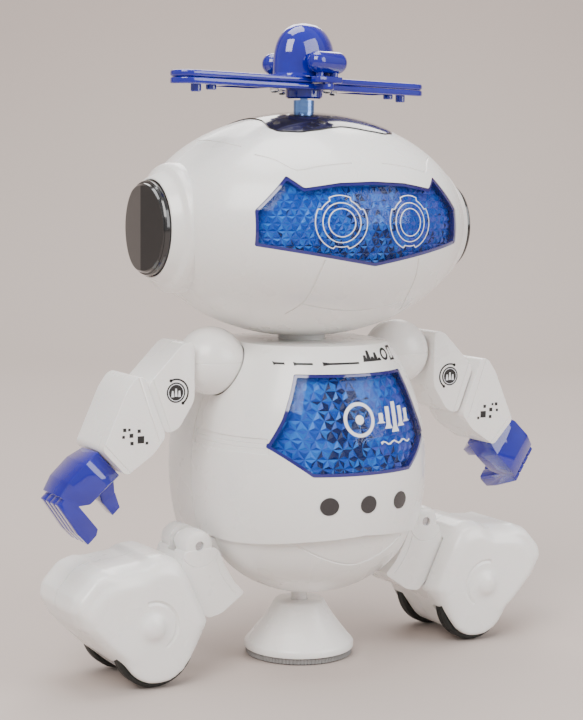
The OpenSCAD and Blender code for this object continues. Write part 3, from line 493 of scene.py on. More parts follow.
def inset(outline, d):
    """The closed outline with every side moved inwards by d."""
    p = [Vector(q) for q in outline]
    area = sum(a.x * b.y - b.x * a.y for a, b in zip(p, p[1:] + p[:1]))
    side = 1 if area > 0 else -1
    moved = []
    for i, here in enumerate(p):
        a, b = (here - p[i - 1]).normalized(), (p[(i + 1) % len(p)] - here).normalized()
        n1, n2 = Vector((-a.y, a.x)) * side, Vector((-b.y, b.x)) * side
        moved.append(here + (n1 + n2) * (d / max(0.35, 1 + n1.dot(n2))))
    return [tuple(q) for q in moved]


def arc(x, z, r, start, end, steps=24):
    return [(x + r * math.cos(t), z + r * math.sin(t))
            for t in (DEG * (start + (end - start) * i / steps) for i in range(steps + 1))]


def ribbon(line, width, where, closed=False, lift=0.06, depth=0.2):
    """A thin printed line. where(x, z, lift) puts a flat point on the surface."""
    p = [Vector(q) for q in line]
    n = len(p)
    pairs = []
    for i in range(n):
        before, after = (p[i - 1], p[(i + 1) % n]) if closed else (p[max(i - 1, 0)],
                                                                   p[min(i + 1, n - 1)])
        a, b = p[i] - before, after - p[i]
        a, b = (a or b).normalized(), (b or a).normalized()
        side = Vector((-(a + b).y, (a + b).x)).normalized()
        reach = width / 2 / max(0.5, side.dot(Vector((-a.y, a.x))))
        pairs.append((p[i] + side * reach, p[i] - side * reach))
    bm = bmesh.new()
    rows = [[bm.verts.new(where(q.x, q.y, h)) for q, h in
             ((left, lift), (right, lift), (right, lift - depth), (left, lift - depth))] for left,
            right in pairs]
    for i in range(n if closed else n - 1):
        here, there = rows[i], rows[(i + 1) % n]
        for k in range(4):
            bm.faces.new([here[k], here[(k + 1) % 4], there[(k + 1) % 4], there[k]])
    if not closed:
        bm.faces.new(rows[0])
        bm.faces.new(rows[-1][::-1])
    bmesh.ops.recalc_face_normals(bm, faces=bm.faces)
    return lump(bm)


def printed_patch(outline, where, lift=0.06, depth=0.2):
    """A filled printed shape on the surface."""
    bm = bmesh.new()
    top = bm.faces.new([bm.verts.new((x, 0, z)) for x, z in outline])
    grown = bmesh.ops.extrude_face_region(bm, geom=[top], use_keep_orig=True)
    low = [g for g in grown["geom"] if isinstance(g, bmesh.types.BMVert)]
    for v in bm.verts:
        v.co = where(v.co.x, v.co.z, lift - depth if v in low else lift)
    bmesh.ops.recalc_face_normals(bm, faces=bm.faces)
    return lump(bm)


VISOR = mirrored([(0, 135.7), (37.9, 142.2), (37.9, 153.3), (27.5, 164.1), (23.3, 160.3),
                  (12, 162), (0, 162.5)])
LENS_CHEST = mirrored([(20, 100.6), (22.6, 94), (25.6, 86.5), (29.8, 78.5), (30.2, 77.6),
                       (18.4, 68.4)])


# ---------------------------------------------------------------- lenses
def curved_pane(outline, egg, low, high, corner=0.6):
    """Part of an egg's wall inside an outline, from depth high to depth low under the surface."""
    pane = slab(outline, -80, -10, corner)
    carve(pane, egg_solid(egg, high, 160), "INTERSECT")
    return carve(pane, egg_solid(egg, low, 160))


def prism_sheet(outline, egg, depth, pitch, tone):
    """A sheet of small pyramids behind a lens. tone(x, z) gives a weight for each of the four blues: the plain
    prism blue and its copies with painted light, painted shade and a painted lavender reflection.
    """
    xs, zs = [x for x, z in outline], [z for x, z in outline]
    tall = pitch * 0.9
    columns, rows = int((max(xs) - min(xs)) / pitch) + 4, int((max(zs) - min(zs)) / tall) + 4
    bm = bmesh.new()
    grid = [[bm.verts.new((min(xs) + (i - 1.5 + 0.5 * (j % 2)) * pitch, 0,
                           min(zs) + (j - 1.5) * tall))
             for i in range(columns)] for j in range(rows)]
    for j in range(rows - 1):
        for i in range(columns - 1):
            a, b, c, d = grid[j][i], grid[j][i + 1], grid[j + 1][i], grid[j + 1][i + 1]
            for three in (((a, b, c), (b, d, c)) if j % 2 == 0 else ((a, d, c), (a, b, d))):
                bm.faces.new(three)
    bmesh.ops.recalc_face_normals(bm, faces=bm.faces)
    if bm.faces[:][0].normal.y > 0:
        bmesh.ops.reverse_faces(bm, faces=bm.faces)
    bmesh.ops.poke(bm, faces=bm.faces[:], offset=0.55)
    # Each facet draws its blue by where it lies, which paints light, shade and a reflection onto the sheet.
    for face in bm.faces:
        spot = face.calc_center_median()
        face.material_index = random.choices(range(4), tone(spot.x, spot.z))[0]
    front = bm.faces[:]
    grown = bmesh.ops.extrude_face_region(bm, geom=front, use_keep_orig=True)
    for v in (g for g in grown["geom"] if isinstance(g, bmesh.types.BMVert)):
        v.co.y = 0.9
    bmesh.ops.recalc_face_normals(bm, faces=bm.faces)
    sheet = lump(bm)
    # The plain prism blue, then its copies with painted light, painted shade and a painted lavender reflection.
    for blue in ("blue_reflector", "prism_painted_light", "prism_painted_shade", "prism_painted_reflection"):
        sheet.data.materials.append(FINISH[blue])
    carve(sheet, slab(outline, -5, 5), "INTERSECT")
    for v in sheet.data.vertices:
        v.co = egg.front(v.co.x, v.co.z, -depth - v.co.y)
    return sheet


def step(low, high, x):
    """0 at low, 1 at high, straight between them."""
    return max(0.0, min(1.0, (x - low) / (high - low)))


# Weights for the visor's facets, which paint light and shade onto them: painted shade darkens the lower edge and a
# band down the middle, painted light lightens the facets away from the +x side, and a painted lavender reflection
# grows towards +x.
def visor_painted_light(x, z):
    low = step(146, 139, z)
    middle = 1 - step(3, 12, abs(x - 1))
    right = step(2, 26, x)
    return (5, 3 * (1 - right),
            0.15 + 5 * max(low, 0.7 * middle) * step(-34, -26, x) * (1 - 0.5 * right), 4.5 * right)


# Weights for the chest reflector's facets, which paint light and shade onto them: painted shade darkens a patch
# round the middle and the lower edge, painted light lightens the facets away from the +x side, and a painted
# lavender reflection grows towards +x.
def chest_painted_light(x, z):
    middle = step(1, 0.55, math.hypot((x + 5) / 10, (z - 86) / 17))
    low = step(77, 71, z) * step(-22, -12, x)
    right = step(2, 20, x)
    return (4, 3.5 * (1 - right), 9 * middle + 3 * low, 4.5 * right)


def lens_set(name, outline, egg, wall, out, tone, pitch, body):
    """Tinted pane, its dark rim and the faceted reflector behind it, whose facets carry painted light, painted
    shade and a painted reflection.
    """
    rim = carve(curved_pane(inset(outline, 0.05), egg, wall + 0.1, out - 0.05),
                slab(inset(outline, 1.05), -80, -10, 0.5))
    finish_piece(rim, name + "_lens_rim", body, "lens_rim",
                 eggs=[Egg(egg.middle, egg.radii - Vector((out - 0.05,) * 3))])
    pane = curved_pane(inset(outline, 1.05), egg, wall, out, 0.5)
    finish_piece(pane, name + "_lens_pane", body, "blue_lens", [name + "_lens"],
                 eggs=[Egg(egg.middle, egg.radii - Vector((d,) * 3)) for d in (out, wall)])
    sheet = prism_sheet(inset(outline, 0.6), egg, wall + 0.75, pitch, tone)
    sheet.data.shade_flat()
    finish_piece(sheet, name + "_prism_sheet", body, None, [name + "_reflector"],
                 keep=True)


# ---------------------------------------------------------------- head
EAR_Z = 146.8
CROWN = mirrored([(0, -24.6), (9, -26), (16, -25.3), (21.8, -21.4), (23, -17), (21, -9), (20.4, 0),
                  (21, 9), (23, 17), (21.8, 21.4), (16, 25.3), (9, 26), (0, 24.6)])


def upright_slab(outline, z0, z1, corner=0.0, edge=0.0):
    """A slab whose outline lies flat in X and Y."""
    return placed(slab([(x, -y) for x, y in outline], z0, z1, corner, edge),
                  Matrix.Rotation(90 * DEG, 4, "X"))


def head_shell():
    shell = carve(egg_solid(HEAD), egg_solid(HEAD, 2))
    carve(shell, slab(VISOR, -80, -20, 0.6))
    carve(shell, hulled(block((-40, -40, 90), (40, 40, 111))))
    recess = carve(upright_slab(inset(CROWN, -0.12), 160, 200, 1.2), egg_solid(HEAD, 1.2))
    carve(shell, recess)
    lines = []
    for side in (-1, 1):
        for path in ([(33, -26, 170.5), (29, -31, 169), (25, -36.5, 166), (22, -38, 166),
                      (17, -39, 167), (5.6, -40, 168)],
                     [(38, 4, 175), (37.4, -11, 174.5), (34.6, -20, 173)],
                     [(17.5, -44.5, 138), (18.5, -42, 133), (19.3, -34.7, 124.6), (22, -27, 120)],
                     [(37, 8, 176), (35, 22, 172), (27, 36, 163), (22, 40, 150), (24, 36, 132)]):
            lines.append(cord_tool([HEAD.onto((side * x, y, z)) for x, y, z in flow(path)], 0.38))
    mouth = flow([(-20, -33, 124), (0, -34, 121), (20, -33, 124)])
    lines.append(cord_tool([HEAD.onto(p) for p in mouth], 0.38))
    ring = [(57 * math.cos(t * 3 * DEG), 0,
             147.5 + 37.5 * math.sin(t * 3 * DEG)) for t in range(120)]
    lines.append(cord_tool(ring, 0.24, True))
    carve(shell, together(lines), crossing=True)
    finish_piece(shell, "head_shell", "head", "white_shell",
                 ["head_front_shell", "head_rear_shell"],
                 eggs=[HEAD, Egg(HEAD.middle, HEAD.radii - Vector((2, 2, 2)))])


def crown():
    plate = carve(upright_slab(CROWN, 160, 200, 1.2), egg_solid(HEAD, -0.38), "INTERSECT")
    carve(plate, egg_solid(HEAD, 1.1))
    well = turned([(0, 180), (4.6, 180), (4.6, 190), (0, 190)], (0, 0, 0), (0, 0, 1), 48)
    carve(plate, well)
    finish_piece(plate, "crown_cover", "head", "black_gloss", ["crown_plate"],
                 eggs=[Egg(HEAD.middle, HEAD.radii + Vector((0.38,) * 3))])


def ears():
    for side, word in ((-1, "right"), (1, "left")):
        out = (side, 0, 0)
        housing = turned([(0, 43), (21.15, 43), (21.15, 50.7), (20.3, 52.4), (18.5, 53.5),
                          (17.6, 54.6), (16.3, 56.9),
                          (15.55, 56.9), (15.55, 55.4), (0, 55.4)], (0, 0, EAR_Z), out, 128)
        soften(housing, 0.45, 18)
        finish_piece(housing, "ear_housing_" + word, "head", "white_shell", ["ear_housings"])
        cap = turned([(0, 55.5), (15.35, 55.5), (15.4, 58.2), (15.05, 58.75), (14.6, 58.75),
                      (14.35, 59.6),
                      (13.6, 60.35), (0, 60.35)], (0, 0, EAR_Z), out, 96)
        bm = bmesh.new()
        bm.from_mesh(cap.data)
        bpy.data.objects.remove(cap)
        for tilt in (-1, 1):
            slice_off(bm, (side * 60.35, 0, EAR_Z), (side, tilt * 0.085, 0))
        cap = lump(bm)
        soften(cap, 0.2, 30)
        finish_piece(cap, "ear_cover_" + word, "head", "cap_grey", ["ear_caps"],
                     sharp=4)


def soften(ob, width, angle, segments=3):
    """Rounds the edges that are sharper than the angle."""
    ease = ob.modifiers.new("soften", "BEVEL")
    ease.width, ease.segments, ease.limit_method, ease.angle_limit = width, segments, "ANGLE", angle * DEG
    ease.use_clamp_overlap = True
    return settle(ob)


def eyes():
    where = lambda x, z, lift: HEAD.front(x, z, lift - 0.5)
    lines = []
    for middle in (-12.75, 12.75):
        outer = []
        for t in range(0, 360, 3):
            notched = min(abs((t - a + 180) % 360 - 180) for a in (48, 132, 270)) < 16
            r = 7.6 if notched else 8.5
            outer.append((middle + r * math.cos(t * DEG), 149.6 + r * math.sin(t * DEG)))
        lines.append(ribbon(outer, 0.27, where, True))
        for r in (6.2, 4.4):
            lines.append(ribbon(arc(middle, 149.6, r, 0, 354, 59), 0.27, where, True))
    finish_piece(together(lines), "eye_rings", "head", "white_ink", keep=True)


# ---------------------------------------------------------------- torso
REAR_Y, TOP_Z, SEAM_Y = 23.8, 109, 5
BALL = Egg((36.4, -3, 103.2), (11.3, 11.3, 11.3))


def torso_solid(inset_by):
    """Half an ellipsoid in front, and the same outline run straight back behind it."""
    rx, ry, rz = (r - inset_by for r in CHEST.radii)
    back, round_by = REAR_Y - inset_by, 2.2
    profile = [(math.sin(t * 2.5 * DEG),
                CHEST.middle.y - ry * math.cos(t * 2.5 * DEG)) for t in range(37)]
    profile += [(1, back - round_by)] + [(1 - round_by / 39.5 * (1 - math.cos(t * DEG)),
                                          back - round_by + round_by * math.sin(t * DEG))
                                         for t in (22.5, 45, 67.5, 90)] + [(0, back)]
    body = placed(turned(profile, (0, 0, 0), (0, 1, 0), 144),
                  Matrix.Translation((0, 0, CHEST.middle.z))
                  @ Matrix.Diagonal((rx, 1, rz, 1)))
    carve(body, hulled(block((-60, -80, TOP_Z - inset_by), (60, 60, 200))))
    return body if inset_by else soften(body, 0.7, 40)


def lip_tool(middle, y0, y1, below):
    edge = [(-60, 42.2), (-40, 44.4), (-20, 46.9), (0, middle), (20, 46.9), (40, 44.4), (60, 42.2)]
    far = 0 if below else 150
    gap = -0.05 if below else 0.05
    return slab([(x, z - gap) for x, z in edge] + [(60, far), (-60, far)], y0, y1)


def lip_cut(ob, below):
    carve(ob, lip_tool(48.4, -70, SEAM_Y, below))
    carve(ob, lip_tool(46.9, SEAM_Y - 0.01, 70, below))


def ball_solid(side, grow, segments=96):
    bm = bmesh.new()
    bmesh.ops.create_uvsphere(bm, u_segments=segments, v_segments=segments // 2,
                              radius=BALL.radii.x + grow)
    bmesh.ops.rotate(bm, verts=bm.verts, cent=(0, 0, 0), matrix=Matrix.Rotation(90 * DEG, 3, "Y"))
    bmesh.ops.translate(bm, vec=(side * BALL.middle.x, BALL.middle.y, BALL.middle.z),
                        verts=bm.verts)
    return lump(bm)


def torso_shells():
    shell = carve(torso_solid(0), torso_solid(2))
    lip_cut(shell, True)
    carve(shell, slab(LENS_CHEST, -80, -15, 0.6))
    for side in (-1, 1):
        carve(shell, ball_solid(side, 0.4, 64))
        band = hulled(block((side * 29.6, -60, 75.3), (side * 60, 3.6, 80.3)))
        carve(band, torso_solid(0.32))
        carve(shell, band)
    for x in (-13.4, 0, 13.4):
        carve(shell, turned([(0, -60), (2.95, -60), (2.95, -30), (0, -30)], (x, 0, 58.9),
                            (0, 1, 0), 48))
    carve(shell, turned([(0, 105), (8.3, 105), (8.3, 112), (0, 112)], (0, 0, 0), (0, 0, 1), 64))
    rear = bpy.data.objects.new("rear", shell.data.copy())
    scene.collection.objects.link(rear)
    carve(shell, hulled(block((-80, SEAM_Y - 0.05, 0), (80, 90, 200))))
    carve(rear, hulled(block((-80, -90, 0), (80, SEAM_Y + 0.05, 200))))
    carve(rear, slab(mirrored([(21.2, 50), (21.2, 104.8)]), 12, 40, 2.2))
    carve(rear, slab([(25.9, 68.4), (34.1, 68.4), (34.1, 77.6), (25.9, 77.6)], 12, 40, 0.8))
    for x in (-34, 34):
        for z in (62, 84):
            carve(rear, turned([(0, 15), (2.7, 15), (2.7, 40), (0, 40)], (x, 0, z), (0, 1, 0), 48))
    egg_walls = [CHEST, BACK, Egg(CHEST.middle, CHEST.radii - Vector((0.32,) * 3))]
    for half, name, node, y in ((shell, "torso_front", "torso_front_shell", SEAM_Y - 0.05),
                                (rear, "torso_rear", "torso_rear_shell", SEAM_Y + 0.05)):
        lines = []
        for side in (-1, 1):
            lines.append(cord_tool([BACK.onto((side * 39, y, z)) for z in range(43, 112, 2)], 0.3))
            for z in (77.1, 78.5):
                k = math.sqrt(1 - ((z - 66) / 56) ** 2) - 0.32 / 38
                around = [(side * 39.5 * k * math.sin(t * DEG), -7.4 - 37 * k * math.cos(t * DEG),
                           z)
                          for t in range(50, 91, 4)]
                if half is shell:
                    lines.append(cord_tool(around + [(side * 39.5 * k, 3.2, z)], 0.16))
        if half is rear:
            lines.append(cord_tool([(x, REAR_Y, z) for x,
                                    z in mirrored([(24, 49.5), (24, 106.5)])], 0.3, True))
        carve(half, together(lines), crossing=True)
        finish_piece(half, name, "torso", "white_shell", [node], eggs=egg_walls)


def battery_cover():
    door = slab(mirrored([(21, 50.2), (21, 104.6)]), 22, 23.75, 2.0, 0.35, 3)
    hole = turned([(0, 20), (2.6, 20), (2.6, 30), (0, 30)], (0, 0, 101.3), (0, 1, 0), 48)
    carve(door, hole)
    grooves = [cord_tool([(-9, 23.75, z), (9, 23.75, z)], 0.35) for z in (55, 57, 59, 61, 63)]
    frame_line = inset(mirrored([(21, 50.2), (21, 104.6)]), 2.2)
    grooves.append(cord_tool([(x, 23.75, z) for x, z in frame_line], 0.2, True))
    for x in (-10.5, 10.5):
        arrow = [(x - 2.4, 70), (x, 67.2), (x + 2.4, 70)]
        grooves.append(cord_tool([(a, 23.75, b) for a, b in arrow], 0.3))
    carve(door, together(grooves), crossing=True)
    finish_piece(door, "battery_cover", "door", "white_shell", ["battery_door"])


def torso_marks():
    """Plain printed bars and a ring with level bars, with no letters."""
    on_chest = lambda x, z, lift: CHEST.front(x, z, lift)
    black = [ribbon([(a + (b - a) * k / 6, 103.8) for k in range(7)], 0.62, on_chest)
             for a, b in ((-24, -21.4), (-19.2, -14), (-11, 1.5))]
    bar_foot = 104
    for x, top in ((4.4, 106), (6.0, 107.4), (7.6, 105.4), (9.2, 106.6), (10.8, 104.9)):
        black.append(ribbon([(x, bar_foot), (x, top)], 0.95, on_chest))
    black.append(ribbon(arc(14.0, 105.8, 1.55, 0, 345, 23), 0.75, on_chest, True))
    black.append(ribbon([(17.1, 103.9), (19.3, 103.9), (19.3, 107.7), (17.1, 107.7)], 0.7,
                        on_chest, True))
    finish_piece(together(black), "chest_bars", "torso", "black_ink", keep=True)
    on_lens = lambda x, z, lift: CHEST.front(x, z, lift - 0.4)
    white = [ribbon(arc(-2.2, 86.2, 5.0, 0, 354, 59), 1.1, on_lens, True),
             printed_patch(arc(-2.2, 86.2, 1.5, 0, 345, 23), on_lens)]
    steps = 5
    for x, tall in ((6.2, 3.2), (9.2, 7.0), (12.2, 9.6), (15.2, 6.4), (18.2, 4.2)):
        white.append(ribbon([(x, 86.2 - tall / 2 + tall * i / steps) for i in range(steps + 1)],
                            1.7, on_lens))
    white.append(ribbon([(5.4 + 13.6 * i / 14,
                          78.2 + 0.5 * math.sin(i * 1.35)) for i in range(15)], 0.45, on_lens))
    finish_piece(together(white), "chest_emblem", "torso", "white_ink",
                 keep=True)


HIP_X, HIP_Z = 44.6, 43.4


def pelvis():
    bottom_z, back_y, wall, beyond = 24.4, 22, 2, 60
    cup = egg_solid(PELVIS)
    carve(cup, egg_solid(PELVIS, wall))
    lip_cut(cup, False)
    carve(cup, hulled(block((-beyond, -beyond, 0), (beyond, beyond, bottom_z))))
    carve(cup, hulled(block((-beyond, back_y, 0), (beyond, beyond, 90))))
    back = carve(carve(egg_solid(PELVIS, 0.01),
                       hulled(block((-beyond, -beyond, 0), (beyond, 20.2, 90)))),
                 hulled(block((-beyond, back_y, 0), (beyond, beyond, 90))))
    carve(back, hulled(block((-beyond, -beyond, 0), (beyond, beyond, bottom_z))))
    lip_cut(back, False)
    foot = turned([(3.2, 23.35), (10.3, 23.35), (11.0, 24.0), (11.0, 26.0), (9.5, 27.0),
                   (3.2, 27.0), (3.2, 23.35)],
                  (0, 0, 0), (0, 0, 1), 72)
    carve(cup, foot, "UNION")
    carve(cup, back, "UNION")
    smile = flow([(-20, 45), (-10.8, 40.3), (0, 37.5), (10.8, 40.3), (20, 45)])
    lines = [cord_tool([PELVIS.front(x, z) for x, z in smile], 0.45)]
    carve(cup, together(lines), crossing=True)
    for side in (-1, 1):
        rod = turned([(0, -4), (3.6, -4), (3.6, 0), (0, 0)], (side * HIP_X, 0, HIP_Z), (0, 1, 0),
                     48)
        root = hulled(block((side * 30.5, -4, 37.5), (side * 32.5, 0, 42.1)))
        points = [v.co.copy() for ob in (rod, root) for v in ob.data.vertices]
        for ob in (rod, root):
            bpy.data.objects.remove(ob)
        carve(cup, hulled(points), "UNION")
        carve(cup, turned([(0, -9), (1.6, -9), (1.6, 9), (0, 9)], (side * HIP_X, 0, HIP_Z),
                          (0, 1, 0), 32))
    finish_piece(cup, "pelvis_cup", "torso", "white_shell", ["pelvis_shell"],
                 eggs=[PELVIS, Egg(PELVIS.middle, PELVIS.radii - Vector((wall, wall, wall)))])


# ---------------------------------------------------------------- rotor
ROTOR = Matrix.Translation((0, 0, 192.4)) @ Matrix.Rotation(15.2 * DEG, 4, "Z")


def blade_outline():
    quarter = [(0, -7.6), (8, -6.9), (16, -5.6)] + arc(52.25, 0, 5.5, -90, 90, 12)
    quarter += [(16, 5.6), (8, 6.9), (0, 7.6)]
    return quarter + [(-x, -y) for x, y in quarter[1:-1]]


def rotor():
    outline = blade_outline()
    lower = upright_slab(outline, 0.05, 2.13, 0, 0.5)
    carve(lower, turned([(0, -2.75), (5.6, -2.75), (6.2, -2.2), (6.2, 1), (0, 1)], (0, 0, 0),
                        (0, 0, 1), 48), "UNION")
    cross = upright_slab([(-2.6, -12.6), (2.6, -12.6), (2.6, 12.6), (-2.6, 12.6)], 0.05, 2.13, 2.0,
                         0.4)
    carve(lower, cross, "UNION")
    for side in (-1, 1):
        for r_at, drop in ((48.7, -2.2), (42.2, -1.4)):
            carve(lower, turned([(0, drop), (1.4, drop), (1.7, drop + 0.3), (1.7, 1), (0, 1)],
                                (side * r_at, 0, 0), (0, 0, 1), 32), "UNION")
        pocket = upright_slab([(side * 20, -4.2), (side * 39, -4.2), (side * 39, 4.2),
                               (side * 20, 4.2)], -1, 0.75, 1.2)
        carve(lower, pocket)
    upper = upright_slab(outline, 2.25, 4.4, 0, 0.75)
    carve(upper, upright_slab([(-2.6, -12.6), (2.6, -12.6), (2.6, 12.6), (-2.6, 12.6)], 2.25, 4.4,
                              2.0, 0.5), "UNION")
    for y in (-10.6, 10.6):
        for x in (-3.4, 3.4):
            carve(upper, turned([(0, 3), (1.35, 3), (1.35, 7), (0, 7)], (x, y, 0), (0, 0, 1), 24),
                  "UNION")
        bridge = upright_slab([(-6.2, y - 2.2), (6.2, y - 2.2), (6.2, y + 2.2), (-6.2, y + 2.2)],
                              2.25, 4.4, 1.6, 0.4)
        carve(upper, bridge, "UNION")
    dome = turned([(0, 4.1), (1, 4.1), (1.0, 4.9),
                   (0.965, 5.5)] + [(0.955 * (1 - (t / 16) ** 3.1) ** 0.52, 5.5 + 17.08 * t / 16)
                  for t in range(17)] + [(0, 22.58)], (0, 0, 0), (0, 0, 1), 96)
    placed(dome, Matrix.Diagonal((12.9, 8.6, 1, 1)))
    carve(dome, hulled(block((-20, -20, 0), (20, 20, 4.2))))
    pods = []
    for y in (-10.6, 10.6):
        pod = capsule((-4.45, y, 9), (4.45, y, 9), 3.65, 48)
        ring = [(x, y, 9 + z) for x, z in
                arc(4.45, 0, 3.65, -90, 90, 10) + arc(-4.45, 0, 3.65, 90, 270, 10)]
        pods.append(carve(pod, cord_tool(ring, 0.14, True)))
    screws = [turned([(0, -1.25), (0.7, -1.2), (1.2, -0.95), (1.5, -0.45), (1.5, 0), (0, 0)],
                     (x, y, 0), (0, 0, 1), 32)
              for x, y in ((14, 0), (-14, 0), (0, 10.6), (0, -10.6))]
    for ob, name, finish, nodes in ((lower, "rotor_lower", "violet_plastic", ["rotor_lower_shell"]),
                                    (upper, "rotor_upper", "violet_plastic", ["rotor_upper_shell"]),
                                    (dome, "rotor_dome", "violet_plastic", []),
                                    (together(pods), "pod_pair", "violet_plastic", ["rotor_pods"]),
                                    (together(screws), "rotor_screw_heads", "chrome_screw",
                                     ["rotor_screws"])):
        finish_piece(placed(ob, ROTOR), name, "rotor", finish, nodes)


# ---------------------------------------------------------------- arms
WRIST = Matrix.Translation((75.7, -3, 73.3)) @ Matrix.Rotation(43.6 * DEG, 4, "Y")
UPPER_ARM = [(46.6, 91.5), (46.6, 110.6), (50.6, 110.4), (63.5, 97.2), (57.2, 81.2), (52.4, 82.4)]
FOREARM = [(65.4, 100.5), (68.4, 100.2), (71.8, 95.6), (79.8, 77.6), (71.6, 69), (62, 75.4),
           (57.8, 80.8)]


def face_lines(ob, paths, y0, y1, r=0.28):
    """Panel lines on the front and back faces of a plate."""
    return carve(ob, together([cord_tool([(x, y, z) for x, z in path],
                                         r) for path in paths for y in (y0, y1)]),
                 crossing=True)


def hand_parts(turn):
    parts = [hulled(block((0.4, -6, -6), (1.4, 6, 5)) + block((6, -8, -4.5), (14, 8, 6))
                    + block((17, -7.6, -0.5), (19, 7.6, 4.5)), 0.8)]
    for k in range(4):
        y = -7.8 + 3.9 * k
        parts.append(hulled(block((16.8, y + 0.15, -1), (21.4, y + 3.75, 3.2))
                            + block((19.4, y + 0.25, -13.5), (23.4, y + 3.65, -8.5))
                            + block((17.6, y + 0.25, -12.4), (20.6, y + 3.65, -9.4)), 0.55))
    parts.append(hulled(block((2, -4, -6), (7.5, 2.5, -4)) + block((5, -3.6, -10), (10, 2, -9)),
                        0.5))
    parts.append(hulled(block((5, -3.6, -10.2), (10, 2, -9)) + block((7, -3, -15),
                                                                     (10.4, 1.6, -14)), 0.5))
    hand = parts[0]
    for more in parts[1:]:
        carve(hand, more, "UNION")
    return placed(hand, WRIST @ Matrix.Rotation(turn * DEG, 4, "X"))


def arm(side):
    word = "right" if side < 0 else "left"
    mirror = MIRROR if side < 0 else Matrix.Identity(4)
    ball = ball_solid(1, 0)
    bm = bmesh.new()
    bm.from_mesh(ball.data)
    bpy.data.objects.remove(ball)
    slice_off(bm, (46.45, 0, 0), (1, 0, 0))
    ball = lump(bm)
    ring = [(36.4 + 11.3 * math.cos(t * 4 * DEG), -3 + 11.3 * math.sin(t * 4 * DEG),
             103.2) for t in range(90)]
    carve(ball, cord_tool(ring, 0.17, True))
    finish_piece(placed(ball, mirror), "shoulder_" + word, "arm_" + word, "white_shell",
                 ["shoulder_ball_" + word],
                 eggs=[Egg((side * 36.4, -3, 103.2), BALL.radii)])

    upper = slab(UPPER_ARM, -12, 6, 2.4, 3.4, 5)
    face_lines(upper, [[(61.6, 99.4), (55.2, 81.6)]], -12, 6)
    finish_piece(placed(upper, mirror), "upper_arm_shell_" + word, "arm_" + word, "white_shell",
                 ["upper_arm_" + word])

    fore = slab(FOREARM, -14, 8, 2.6, 4.2, 6)
    face_lines(fore, [[(67.7, 100.6), (60.2, 79.4)], [(79.3, 79.6), (70.3, 69.9)]], -14, 8)
    finish_piece(placed(fore, mirror), "forearm_shell_" + word, "forearm_body_" + word,
                 "white_shell", ["forearm_" + word])

    hand = hand_parts(0 if side < 0 else 75)
    finish_piece(placed(hand, mirror), "hand_grip_" + word, "hand_body_" + word, "violet_plastic",
                 ["hand_" + word], sharp=25)

    on_upper = lambda x, z, lift: Vector((x, -12 - lift, z))
    disc = [printed_patch(arc(53.4, 94.5, 3.3, 0, 350, 35), on_upper),
            ribbon(arc(53.4, 94.5, 4.3, 65, 235, 24), 0.55, on_upper),
            printed_patch(arc(*arc(53.4, 94.5, 4.3, 65, 65, 1)[0], 0.55, 0, 330, 11), on_upper),
            printed_patch(arc(*arc(53.4, 94.5, 4.3, 235, 235, 1)[0], 0.55, 0, 330, 11), on_upper)]
    finish_piece(placed(together(disc), mirror), "arm_roundel_" + word, "arm_" + word, "black_ink",
                 keep=True)
    bars = [ribbon([(53.4 + k, 93.2 - abs(k) * 0.1), (53.4 + k, 95.8 - abs(k) * 0.6)], 0.5,
                   on_upper, lift=0.09) for k in (-1.2, 0, 1.2)]
    bars.append(ribbon(arc(53.4, 94.5, 2.7, 0, 345, 23), 0.22, on_upper, True, lift=0.09))
    finish_piece(placed(together(bars), mirror), "arm_roundel_bars_" + word, "arm_" + word,
                 "white_ink", keep=True)
    on_fore = lambda x, z, lift: Vector((x, -14 - lift, z))
    squares = []
    for x, z, size in ((66.7, 80.4, 2.3), (69.8, 79.4, 1.1), (70, 81.9, 1.3), (67.3, 83.2, 1.1),
                       (70.7, 83.8, 0.8),
                       (72.3, 83.8, 1.1), (72.7, 81.6, 0.9), (64.6, 79.2, 0.9)):
        h = size / 2
        squares.append(printed_patch([(x - h, z - h), (x + h, z - h), (x + h, z + h),
                                      (x - h, z + h)], on_fore))
    finish_piece(placed(together(squares), mirror), "forearm_squares_" + word,
                 "forearm_body_" + word, "black_ink",
                 keep=True)


# ---------------------------------------------------------------- legs
THIGH = [(39.6, 42.6), (37.6, 41.6), (35.4, 36.4), (31.9, 30.5), (27.8, 26.1), (36.6, 20),
         (41.5, 19), (49, 26),
         (52, 34), (50, 42)]
ANKLE = [(43.4, 19.7), (46, 25.5), (50.2, 31.5), (51.6, 37), (54.4, 41), (59, 42.8), (64, 42.4),
         (69, 39.6),
         (76, 30), (76, 12)]
TOE = [(66, 41), (73, 39), (80, 39.6), (84.6, 38), (90.6, 31.5), (91.6, 27.5), (89, 22),
       (79.6, 12.2), (72, 6),
       (62, 12)]
WHEEL = (62.5, 14)
BOOT_Y0, BOOT_Y1 = -20.5, 16.5


def spread(outline, y0, y1, middle=None, k=1.0):
    """The outline's points at two depths, drawn in towards the middle by k."""
    mx, mz = middle or (0, 0)
    return [(mx + (x - mx) * k, y, mz + (z - mz) * k) for x, z in outline for y in (y0, y1)]


